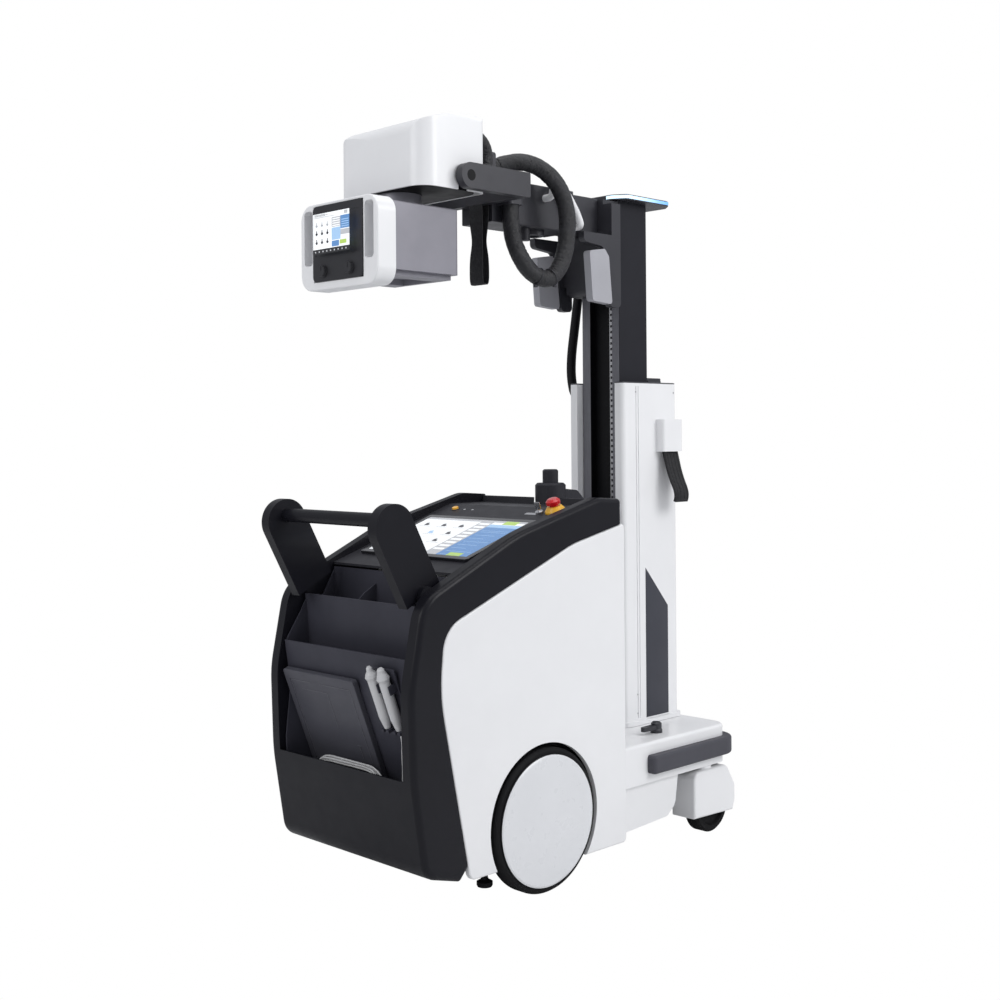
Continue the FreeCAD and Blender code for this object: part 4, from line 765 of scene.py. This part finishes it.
def display_items():
    """The picture on the tube head's display: body outlines, a list and a row of keys."""
    items = [
        ("paper", 0, "box", 0.0, 0.12, 1.0, 1.0),
        ("bar", 0, "box", 0.0, 0.0, 1.0, 0.12),
        ("line", 1, "box", 0.03, 0.895, 0.60, 0.91),
        ("grey", 1, "box", 0.52, 0.62, 0.76, 0.86),
        ("blue", 1, "box", 0.76, 0.55, 1.0, 0.87),
        ("sky", 1, "box", 0.52, 0.30, 0.76, 0.60),
        ("grey", 1, "box", 0.76, 0.40, 1.0, 0.53),
        ("blue", 1, "box", 0.52, 0.14, 0.72, 0.28),
        ("green", 1, "box", 0.74, 0.18, 0.92, 0.28),
        ("grey", 1, "box", 0.86, 0.90, 0.95, 0.98),
    ]
    for i in range(3):
        y = 0.93 + 0.02 * i
        items.append(("ink", 1, "box", 0.04, y, 0.34 + 0.08 * (i % 2), y + 0.008))
    for row, y in enumerate((0.70, 0.50, 0.28)):
        for column in range(3):
            x = 0.08 + column * 0.15
            colour = "ink" if row else "line"
            items.append((colour, 1, "round", x + 0.02, y + 0.065, 0.014, 0.022))
            items.append((colour, 1, "box", x, y - 0.035, x + 0.04, y + 0.040))
            items.append((colour, 1, "box", x - 0.014, y - 0.01, x + 0.054, y + 0.012))
    for i in range(4):
        y = 0.64 + i * 0.055
        items.append(("paper", 2, "box", 0.54, y, 0.74, y + 0.025))
        items.append(("sky", 2, "box", 0.79, y - 0.05, 0.98, y - 0.03))
    for i in range(9):
        items.append(("line", 1, "box", 0.05 + i * 0.105, 0.04, 0.08 + i * 0.105, 0.075))
    return items


class XRAY_OT_screens(bpy.types.Operator):
    """Draw the pictures on the console screen and the tube head's display"""

    bl_idname = "xray.screens"
    bl_label = "Screens"

    def execute(self, context):
        settings = context.scene.xray_graphics
        up = Vector((math.cos(SLOPE), 0, math.sin(SLOPE)))
        out = Vector((-math.sin(SLOPE), 0, math.cos(SLOPE)))
        middle = at(-70, 0, 811 + (258 - 70) * math.tan(SLOPE))
        middle += out * (level("touch_screen", out) - 0.0008 - middle.dot(out))
        place = square(middle + up * 0, (0, -1, 0), up)
        graphics("console_screen", place, (0.376, 0.236), console_items(), "cart", settings)

        low, high = at(-446, -74.5, 1580.5), at(-441, 74.5, 1684.5)
        depth = [
            v.co.x
            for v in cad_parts["display_panel"].data.vertices
            if abs(v.co.y) < 0.0745 and low.z < v.co.z < high.z and v.co.x < high.x
        ]
        face = max(depth) if depth else at(-443.2, 0, 0).x
        place = square(Vector((face, 0, (low.z + high.z) / 2)), (0, -1, 0), (0, 0, 1))
        graphics("display", place, (0.142, 0.098), display_items(), "collimator", settings)
        return {"FINISHED"}


# ---------------------------------------------------------------- sleeves, straps and cords


def sleeve_mesh(route, radius, fabric, seed):
    """A padded sleeve: creases across it, deepest on the inside of its bends, and a sewn seam."""
    path = even(centreline(route), fabric.ring_gap)
    count = len(path)
    bends = []
    for i in range(count):
        a, b, c = path[max(i - 4, 0)], path[i], path[min(i + 4, count - 1)]
        bends.append((a + c - 2 * b) / max((c - a).length, 1e-6) * 9)
    shift = Vector((seed * 7.3, seed * 3.1, seed * 1.7))

    def reach(i, way, angle):
        s = i * fabric.ring_gap
        ends = min(1.0, i / 6, (count - 1 - i) / 6)
        inner = max(0.0, min(1.0, bends[i].dot(way) * 1.6))
        across = Vector((s * 95 + 1.1 * math.sin(angle + seed), 0.8 * math.cos(angle), 0.8 * math.sin(angle)))
        crease = 1 - abs(noise.noise(across + shift)) * 3.2
        crease = max(0.0, crease) ** 2
        fine = noise.noise(Vector((s * 260, 2.2 * math.cos(angle), 2.2 * math.sin(angle))) + shift)
        bulge = noise.noise(Vector((s * 22, math.cos(angle) * 0.9, math.sin(angle) * 0.9)) - shift)
        depth = fabric.wrinkle * (0.28 + 0.85 * inner)
        sewn = 0.0009 * math.exp(-(((angle - 1.1) / 0.05) ** 2))
        return radius * (1.0 + 0.045 * bulge * ends) - ends * (depth * crease - 0.00035 * fine - sewn)

    bm = bmesh.new()
    add_tube(bm, path, reach, 56)
    return bm, path


LOOP_ROUTE = [
    (85, -84, 1745.7), (85, -84, 1692), (93, -98, 1622), (131, -114, 1566), (188, -126, 1550),
    (232, -134, 1600), (252, -138, 1690), (243, -134, 1780), (202, -112, 1846), (138, -80, 1872),
    (86, -56, 1858), (66, -47, 1846), (43.3, -47, 1846),
]
TOP_ROUTE = [
    (-86.7, -118, 1900), (-64.7, -118, 1900), (-34.7, -118, 1870.7), (-34.7, -118, 1829.3),
    (-64.7, -118, 1800), (-86.7, -118, 1800),
]
SUPPLY_ROUTE = [
    (604, 122, 1789.9), (604, 122, 1750), (604, 131, 1660), (604, 146, 1560), (604, 162, 1460),
    (604, 176, 1380), (604, 178, 1310), (604, 160, 1246), (604, 105.3, 1246),
]
SWITCH_ROUTE = [
    (-391.8, -180, 451.6), (-382.8, -180, 427.6), (-382.8, -179, 392), (-378, -176, 350),
    (-379, -174, 318), (-379, -166, 288), (-379, -148, 274.3), (-379, -120.3, 274.3),
]


class XRAY_OT_sleeves(bpy.types.Operator):
    """Sew the padded sleeves of the tube head's cables, and the clips on the long one"""

    bl_idname = "xray.sleeves"
    bl_label = "Padded sleeves"

    def execute(self, context):
        fabric = context.scene.xray_fabric
        known = finishes()
        route = [at(*p) for p in LOOP_ROUTE]
        bm, path = sleeve_mesh(route, 0.023, fabric, 3)
        loop = piece("padded_loop", bm, known["leather"], None, 60)
        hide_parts("sleeve_loop")
        for number, share in enumerate((0.285, 0.345)):
            i = round(share * (len(path) - 1))
            ring = bmesh.new()
            _, u, v = frames(path)[i]
            spots = [
                path[i] + (u * math.cos(a) + v * math.sin(a)) * 0.0232
                for a in (math.tau * k / 40 for k in range(41))
            ]
            for a, b in zip(spots, spots[1:]):
                add_tube(ring, [a, b], 0.0016, 8)
            down = min(spots, key=lambda p: p.z)
            low, high = down - Vector((0.005, 0.004, 0.007)), down + Vector((0.005, 0.004, 0.003))
            add_block(ring, low, high, 0.0012)
            piece(f"sleeve_clip_{number + 1}", ring, known["metal"], "arm")
        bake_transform(loop)

        route = [at(*p) for p in TOP_ROUTE]
        bm, path = sleeve_mesh(route, 0.017, fabric, 8)
        hump = piece("padded_hump", bm, known["leather"], "head", 60)
        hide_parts("sleeve_top")
        return {"FINISHED"}


def coil_spot(share, half, bend):
    """A point (y, z) of the coil's flat loop and the way out of the loop there, from its left end."""
    arc, straight = math.pi * bend, 2 * half
    s = share * 2 * (straight + arc)
    if s < arc / 2:
        side, a = -half, math.pi + s / bend
    elif s < arc / 2 + straight:
        return s - arc / 2 - half, -bend, 0, -1
    elif s < 1.5 * arc + straight:
        side, a = half, -math.pi / 2 + (s - arc / 2 - straight) / bend
    elif s < 1.5 * arc + 2 * straight:
        return half - (s - 1.5 * arc - straight), bend, 0, 1
    else:
        side, a = -half, math.pi / 2 + (s - 1.5 * arc - 2 * straight) / bend
    return side + bend * math.cos(a), bend * math.sin(a), math.cos(a), math.sin(a)


class XRAY_OT_cords(bpy.types.Operator):
    """Lay the supply cord behind the mast, and the hand switch cord with its coil"""

    bl_idname = "xray.cords"
    bl_label = "Cords"

    def execute(self, context):
        known = finishes()
        route = [at(*p) for p in SUPPLY_ROUTE]
        path = even(centreline(route), 0.004)
        bm = bmesh.new()
        add_tube(bm, path, 0.014, 28)
        supply = piece("supply_cable", bm, known["cord"], None, 60)
        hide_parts("supply_cord")
        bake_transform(supply)

        turns = context.scene.xray_fabric.coil_turns
        centre, half, bend, steps = at(-379, 30, 274.3), 0.075, 0.064, 40
        points = [at(*p) for p in SWITCH_ROUTE[:-1]]
        for k in range(int(turns * steps) + 1):
            spin = math.radians(180 - 60 * k / steps)
            y, z, out_y, out_z = coil_spot(k / steps % 1.0, half, bend)
            out, side = -0.0062 * math.cos(spin), 0.0062 * math.sin(spin)
            points.append(centre + Vector((side, y + out_y * out, z + out_z * out)))
        cord = spline("switch_cable", points, 0.0025)
        cord.data.materials.append(known["pale_cord"])
        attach(cord, "cart")
        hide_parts("switch_cord", "cord_coil")
        long(centreline(points))
        return {"FINISHED"}


def add_strap(bm, line, thick):
    """A flat strap along a line of (point, side direction, width) with rounded edges."""
    section = []
    for i in range(9):
        a = math.pi * (i / 8 - 0.5)
        section.append((0.5, math.cos(a), math.sin(a)))
    for i in range(9):
        a = math.pi * (i / 8 + 0.5)
        section.append((-0.5, math.cos(a), math.sin(a)))
    rings = []
    for i, (p, side, w) in enumerate(line):
        a, b = line[max(i - 1, 0)][0], line[min(i + 1, len(line) - 1)][0]
        along = (b - a).normalized()
        face = along.cross(side).normalized()
        ring = []
        for half, c, s in section:
            x = half * (w - thick) + c * thick / 2
            ring.append(bm.verts.new(p + side * x + face * (s * thick / 2)))
        rings.append(ring)
    count = len(section)
    for low, high in zip(rings, rings[1:]):
        for k in range(count):
            n = (k + 1) % count
            bm.faces.new((low[k], low[n], high[n], high[k]))
    bm.faces.new(list(reversed(rings[0])))
    bm.faces.new(rings[-1])


def smooth_line(points, count=60):
    """Points evenly along a curve of order 3 through these control points."""
    path = centreline([Vector(p) for p in points])
    return even(path, long(path) / count)


class XRAY_OT_straps(bpy.types.Operator):
    """Hang the strap under the yoke, and the strap below the box on the column"""

    bl_idname = "xray.straps"
    bl_label = "Straps"

    def execute(self, context):
        known = finishes()
        thick = context.scene.xray_fabric.strap_thickness
        low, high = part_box("hang_strap")
        middle = (low + high) / 2
        left, right = low.x + thick, high.x - thick
        pinch = 0.0070
        route = [
            (left, middle.y, high.z - 0.0005), (left, middle.y, high.z - 0.03),
            (middle.x - pinch, middle.y, high.z - 0.085), (middle.x - pinch, middle.y, high.z - 0.105),
            (left, middle.y, low.z + 0.06), (left, middle.y, low.z + 0.002),
            (middle.x, middle.y, low.z + 0.0015), (right, middle.y, low.z + 0.002),
            (right, middle.y, low.z + 0.06), (middle.x + pinch, middle.y, high.z - 0.105),
            (middle.x + pinch, middle.y, high.z - 0.085), (right, middle.y, high.z - 0.03),
            (right, middle.y, high.z - 0.0005),
        ]
        path = smooth_line(route, 140)
        line = []
        for p in path:
            t = (high.z - p.z) / (high.z - low.z)
            neck = math.exp(-(((t - 0.45) / 0.16) ** 2))
            line.append((p, Vector((0, 1, 0)), 0.050 - 0.009 * neck))
        bm = bmesh.new()
        add_strap(bm, line, thick)
        strap = piece("hanging_strap", bm, known["strap"], "fork", 60)
        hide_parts("hang_strap")

        route = [
            (120, 1088.6), (126, 1068), (133, 1040), (146, 1005), (160, 978), (163, 955), (158, 944),
        ]
        path = smooth_line([at(705, -y, z) for y, z in route], 50)
        bm = bmesh.new()
        line = [(p, Vector((1, 0, 0)), 0.068 - 0.006 * i / 50) for i, p in enumerate(path)]
        add_strap(bm, line, 0.010)
        for offset in (-0.022, -0.008, 0.008, 0.022):
            for way in (-1, 1):
                rib = []
                for i, (p, side, _) in enumerate(line[2:-3]):
                    a, b = line[i + 1][0], line[i + 3][0]
                    face = (b - a).normalized().cross(side).normalized()
                    rib.append(p + side * offset + face * (0.0046 * way))
                add_tube(bm, rib, 0.0018, 10)
        strap = piece("ribbed_strap", bm, known["strap"], "column", 50)
        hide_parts("column_strap")
        return {"FINISHED"}


# ---------------------------------------------------------------- fine pieces


class XRAY_OT_console_details(bpy.types.Operator):
    """Lamps, bezels and bare plates round the touch screen"""

    bl_idname = "xray.console_details"
    bl_label = "Console details"

    def execute(self, context):
        known = finishes()
        up = Vector((math.cos(SLOPE), 0, math.sin(SLOPE)))
        out = Vector((-math.sin(SLOPE), 0, math.cos(SLOPE)))

        def spot(x, y, lift=0.0):
            p = at(x, y, 811 + (258 + x) * math.tan(SLOPE))
            return square(p + out * lift, (0, -1, 0), up)

        lamp = finish("lamp_lens", (0.55, 0.56, 0.58), 0.2, spread=0.05, coat=0.6)
        bm = bmesh.new()
        for y in (139, 107):
            profile = [(0.0, 0.0012), (0.002, 0.0011), (0.0032, 0.0006), (0.0036, -0.001)]
            ring = turned(profile, spot(120, y), 24)
            data = bpy.data.meshes.new("scratch")
            ring.to_mesh(data)
            ring.free()
            bm.from_mesh(data)
            bpy.data.meshes.remove(data)
        piece("console_lamps", bm, lamp, "cart")

        bm = bmesh.new()
        add_prism(bm, outline(-0.021, -0.0065, 0.021, 0.0065, 0.002), 0.0006, spot(112, -126), 0.0002)
        piece("bare_plate", bm, known["bright"], "cart")

        ring = turned(
            [(0.0125, -0.001), (0.0125, 0.0008), (0.0118, 0.0014), (0.0105, 0.0014), (0.0098, 0.0008),
             (0.0098, -0.001)],
            spot(120, 176),
            40,
        )
        piece("power_bezel", ring, known["metal"], "cart")
        return {"FINISHED"}


class XRAY_OT_detector_lines(bpy.types.Operator):
    """The raised corner marks and frame of the detector panel"""

    bl_idname = "xray.detector_lines"
    bl_label = "Detector lines"

    def execute(self, context):
        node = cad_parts["detector"]
        lean = math.radians(21)
        up = Vector((-math.sin(lean), 0, math.cos(lean)))
        out = Vector((-math.cos(lean), 0, -math.sin(lean)))
        low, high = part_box("detector")
        middle_y = (low.y + high.y) / 2
        along = [v.co.dot(up) for v in node.data.vertices]
        reach = level("detector", out)
        height = (max(along) + min(along)) / 2
        origin = up * height + out * reach + Vector((0, middle_y, 0))
        place = square(origin, (0, -1, 0), up)
        bm = bmesh.new()
        w, h, t, rise = 0.118, 0.138, 0.0007, 0.0003
        for x0, y0, x1, y1 in (
            (-w, -h, w, -h + t), (-w, h - t, -0.04, h), (0.0, h - t, w, h),
            (-w, -h, -w + t, h), (w - t, -h, w, h),
            (0.02, 0.02, 0.02 + t, 0.115), (-0.08, 0.115, 0.02, 0.115 + t),
            (0.085, -0.10, 0.0862, -0.02), (0.078, -0.02, 0.093, -0.0188),
        ):
            add_prism(bm, outline(x0, y0, x1, y1), rise, place)
        lines = finish("detector_line", (0.16, 0.16, 0.18), 0.4, spread=0.05)
        piece("detector_marks", bm, lines, "detector_panel")
        return {"FINISHED"}


class XRAY_OT_column_details(bpy.types.Operator):
    """The bare grey panel on the column, its screws and the block behind the mast"""

    bl_idname = "xray.column_details"
    bl_label = "Column details"

    def execute(self, context):
        known = finishes()
        side = 0.105  # half of the column's width
        place = square(Vector((0, -side, 0)), (1, 0, 0), (0, 0, 1))
        corners = ((606.5, 321), (708, 321), (708, 636.6), (606.5, 753.8))
        points = [(x / 1000 + AXLE, z / 1000) for x, z in corners]
        bm = bmesh.new()
        add_prism(bm, points, 0.0007, place, 0.0002)
        piece("column_panel", bm, known["plate"], "column")
        bm = bmesh.new()
        for x, z in ((568, 392), (568, 338), (568, 1262), (742, 1262)):
            add_prism(bm, oval(x / 1000 + AXLE, z / 1000, 0.0026, 0.0026, 16), 0.0006, place, 0.0002)
        piece("column_screws", bm, known["steel"], "column")
        bm = bmesh.new()
        add_block(bm, at(667, -62, 1290.8), at(738, 62, 1306), 0.003)
        piece("column_lid_block", bm, known["metal"], "column")
        return {"FINISHED"}


def rounded(points, radius, steps=6):
    """A flat line of points with rounded corners."""
    spots = [Vector(p) for p in points]
    line = [spots[0]]
    for a, b, c in zip(spots, spots[1:], spots[2:]):
        back, on = (a - b).normalized(), (c - b).normalized()
        half = back.angle(on) / 2
        centre = b + (back + on).normalized() * radius / math.sin(half)
        first, last = (b + way * radius / math.tan(half) - centre for way in (back, on))
        line += [centre + first.lerp(last, i / steps).normalized() * radius for i in range(steps + 1)]
    return line + [spots[-1]]


class XRAY_OT_light_strip(bpy.types.Operator):
    """The blue lamp strip along the edges of the mast's cap"""

    bl_idname = "xray.light_strip"
    bl_label = "Lamp strip"

    def execute(self, context):
        w = Wiring("strip_lamp")
        x, _, _ = w.axes()
        along = w.sums("SUBTRACT", x, at(512, 0, 0).x)
        fade = w.spread(along, 0.0, 1.0, 0.0, 0.242)
        clouds = w.spread(w.noise(18), -0.06, 0.06)
        amount = w.sums("ADD", fade, clouds)
        paint = w.mix(amount, (0.62, 0.84, 1.0), (0.03, 0.20, 0.55))
        w.link(paint, w.shader.inputs["Base Color"])
        w.link(paint, w.shader.inputs["Emission Color"])
        w.shader.inputs["Emission Strength"].default_value = 1.1
        w.link(w.spread(w.noise(50), 0.2, 0.3), w.shader.inputs["Roughness"])
        w.bump(w.noise(400), 0.02, 0.0001)
        low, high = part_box("mast_cap")
        top = high.z
        z0, z1 = top - 0.0125, top - 0.0035
        bm = bmesh.new()
        path = rounded(
            [(low.x, low.y + 0.058), (low.x, low.y + 0.040), (low.x + 0.026, low.y), (high.x - 0.030, low.y)],
            0.012,
        )
        for (ax, ay), (bx, by) in zip(path, path[1:]):
            if math.hypot(bx - ax, by - ay) < 1e-5:
                continue
            way = Vector((bx - ax, by - ay, 0)).normalized()
            place = square(Vector((ax, ay, 0)), way, (0, 0, 1))
            run = math.hypot(bx - ax, by - ay)
            add_prism(bm, outline(0, z0, run, z1), 0.0004, place)
        piece("cap_lamp", bm, w.material, "mast")
        return {"FINISHED"}


class XRAY_OT_stage(bpy.types.Operator):
    """Set the camera, the lights, the white floor and the backdrop"""

    bl_idname = "xray.stage"
    bl_label = "Studio"

    def execute(self, context):
        scene, studio = context.scene, context.scene.xray_studio
        data = bpy.data.cameras.new("camera")
        data.sensor_width, data.lens, data.shift_y = 36, studio.lens, -0.0645
        data.clip_end = 60
        camera = bpy.data.objects.new("camera", data)
        scene.collection.objects.link(camera)
        camera.matrix_world = (
            Matrix.Translation((-2.613, -2.621, 1.1395))
            @ Matrix.Rotation(math.radians(-44.6), 4, "Z")
            @ Matrix.Rotation(math.radians(90), 4, "X")
            @ Matrix.Rotation(math.radians(-0.44), 4, "Z")
        )
        scene.camera = camera

        def lamp(name, place, target, size, power, tint=(1, 1, 1)):
            light = bpy.data.lights.new(name, "AREA")
            light.shape, light.size, light.energy, light.color = "DISK", size, power, tint
            obj = bpy.data.objects.new(name, light)
            scene.collection.objects.link(obj)
            way = Vector(target) - Vector(place)
            obj.matrix_world = Matrix.Translation(place) @ way.to_track_quat("-Z", "Y").to_matrix().to_4x4()

        lamp("key_light", (1.6, -4.2, 3.4), (0.1, 0, 1.0), 3.0, studio.key_power)
        lamp("top_light", (0.0, -0.4, 4.6), (0.0, 0, 0.6), 3.6, studio.top_power)
        lamp("fill_light", (-4.4, 0.6, 2.6), (-0.2, 0, 0.9), 2.6, studio.fill_power)

        world = bpy.data.worlds.new("room")
        world.use_nodes = True
        tree = world.node_tree
        tree.nodes.clear()
        out = tree.nodes.new("ShaderNodeOutputWorld")
        mix = tree.nodes.new("ShaderNodeMixShader")
        rays = tree.nodes.new("ShaderNodeLightPath")
        room, white = tree.nodes.new("ShaderNodeBackground"), tree.nodes.new("ShaderNodeBackground")
        room.inputs[0].default_value = (0.93, 0.95, 1.0, 1)
        room.inputs[1].default_value = studio.sky
        white.inputs[0].default_value = (1, 1, 1, 1)
        white.inputs[1].default_value = 1.0
        tree.links.new(rays.outputs["Is Camera Ray"], mix.inputs[0])
        tree.links.new(room.outputs[0], mix.inputs[1])
        tree.links.new(white.outputs[0], mix.inputs[2])
        tree.links.new(mix.outputs[0], out.inputs[0])
        scene.world = world

        bm = bmesh.new()
        bmesh.ops.create_grid(bm, x_segments=1, y_segments=1, size=9)
        mesh = bpy.data.meshes.new("floor")
        bm.to_mesh(mesh)
        bm.free()
        floor = bpy.data.objects.new("floor", mesh)
        scene.collection.objects.link(floor)
        material = bpy.data.materials.new("floor_white")
        material.use_nodes = True
        tree = material.node_tree
        tree.nodes.clear()
        out = tree.nodes.new("ShaderNodeOutputMaterial")
        mix = tree.nodes.new("ShaderNodeMixShader")
        rays = tree.nodes.new("ShaderNodeLightPath")
        plain, glow = tree.nodes.new("ShaderNodeBsdfDiffuse"), tree.nodes.new("ShaderNodeEmission")
        plain.inputs[0].default_value = (0.78, 0.78, 0.78, 1)
        glow.inputs[0].default_value = (1, 1, 1, 1)
        glow.inputs[1].default_value = 1.0
        tree.links.new(rays.outputs["Is Camera Ray"], mix.inputs[0])
        tree.links.new(plain.outputs[0], mix.inputs[1])
        tree.links.new(glow.outputs[0], mix.inputs[2])
        tree.links.new(mix.outputs[0], out.inputs[0])
        mesh.materials.append(material)
        scene.view_settings.view_transform = "Standard"
        return {"FINISHED"}


class XRAY_PT_sidebar(bpy.types.Panel):
    """Settings and steps of the mobile x-ray machine"""

    bl_idname = "XRAY_PT_sidebar"
    bl_label = "Mobile x-ray machine"
    bl_space_type = "VIEW_3D"
    bl_region_type = "UI"
    bl_category = "X-ray"

    def draw(self, context):
        for name, group in GROUPS.items():
            box = self.layout.box()
            box.label(text=group.__doc__)
            for field in group.__annotations__:
                box.prop(getattr(context.scene, name), field)
        for step in STEPS:
            self.layout.operator(step.bl_idname)


STEPS = (
    XRAY_OT_dress_nodes,
    XRAY_OT_screens,
    XRAY_OT_sleeves,
    XRAY_OT_cords,
    XRAY_OT_straps,
    XRAY_OT_console_details,
    XRAY_OT_detector_lines,
    XRAY_OT_column_details,
    XRAY_OT_light_strip,
    XRAY_OT_stage,
)


def register():
    for group in GROUPS.values():
        bpy.utils.register_class(group)
    for name, group in GROUPS.items():
        setattr(bpy.types.Scene, name, bpy.props.PointerProperty(type=group))
    for step in STEPS:
        bpy.utils.register_class(step)
    bpy.utils.register_class(XRAY_PT_sidebar)


def unregister():
    bpy.utils.unregister_class(XRAY_PT_sidebar)
    for step in reversed(STEPS):
        bpy.utils.unregister_class(step)
    for name in GROUPS:
        delattr(bpy.types.Scene, name)
    for group in reversed(list(GROUPS.values())):
        bpy.utils.unregister_class(group)


def main():
    random.seed(4)
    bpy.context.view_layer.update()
    register()
    for step in STEPS:
        family, name = step.bl_idname.split(".")
        if getattr(getattr(bpy.ops, family), name)() != {"FINISHED"}:
            raise RuntimeError(f"{step.bl_label} did not finish")


if __name__ == "__main__":
    main()
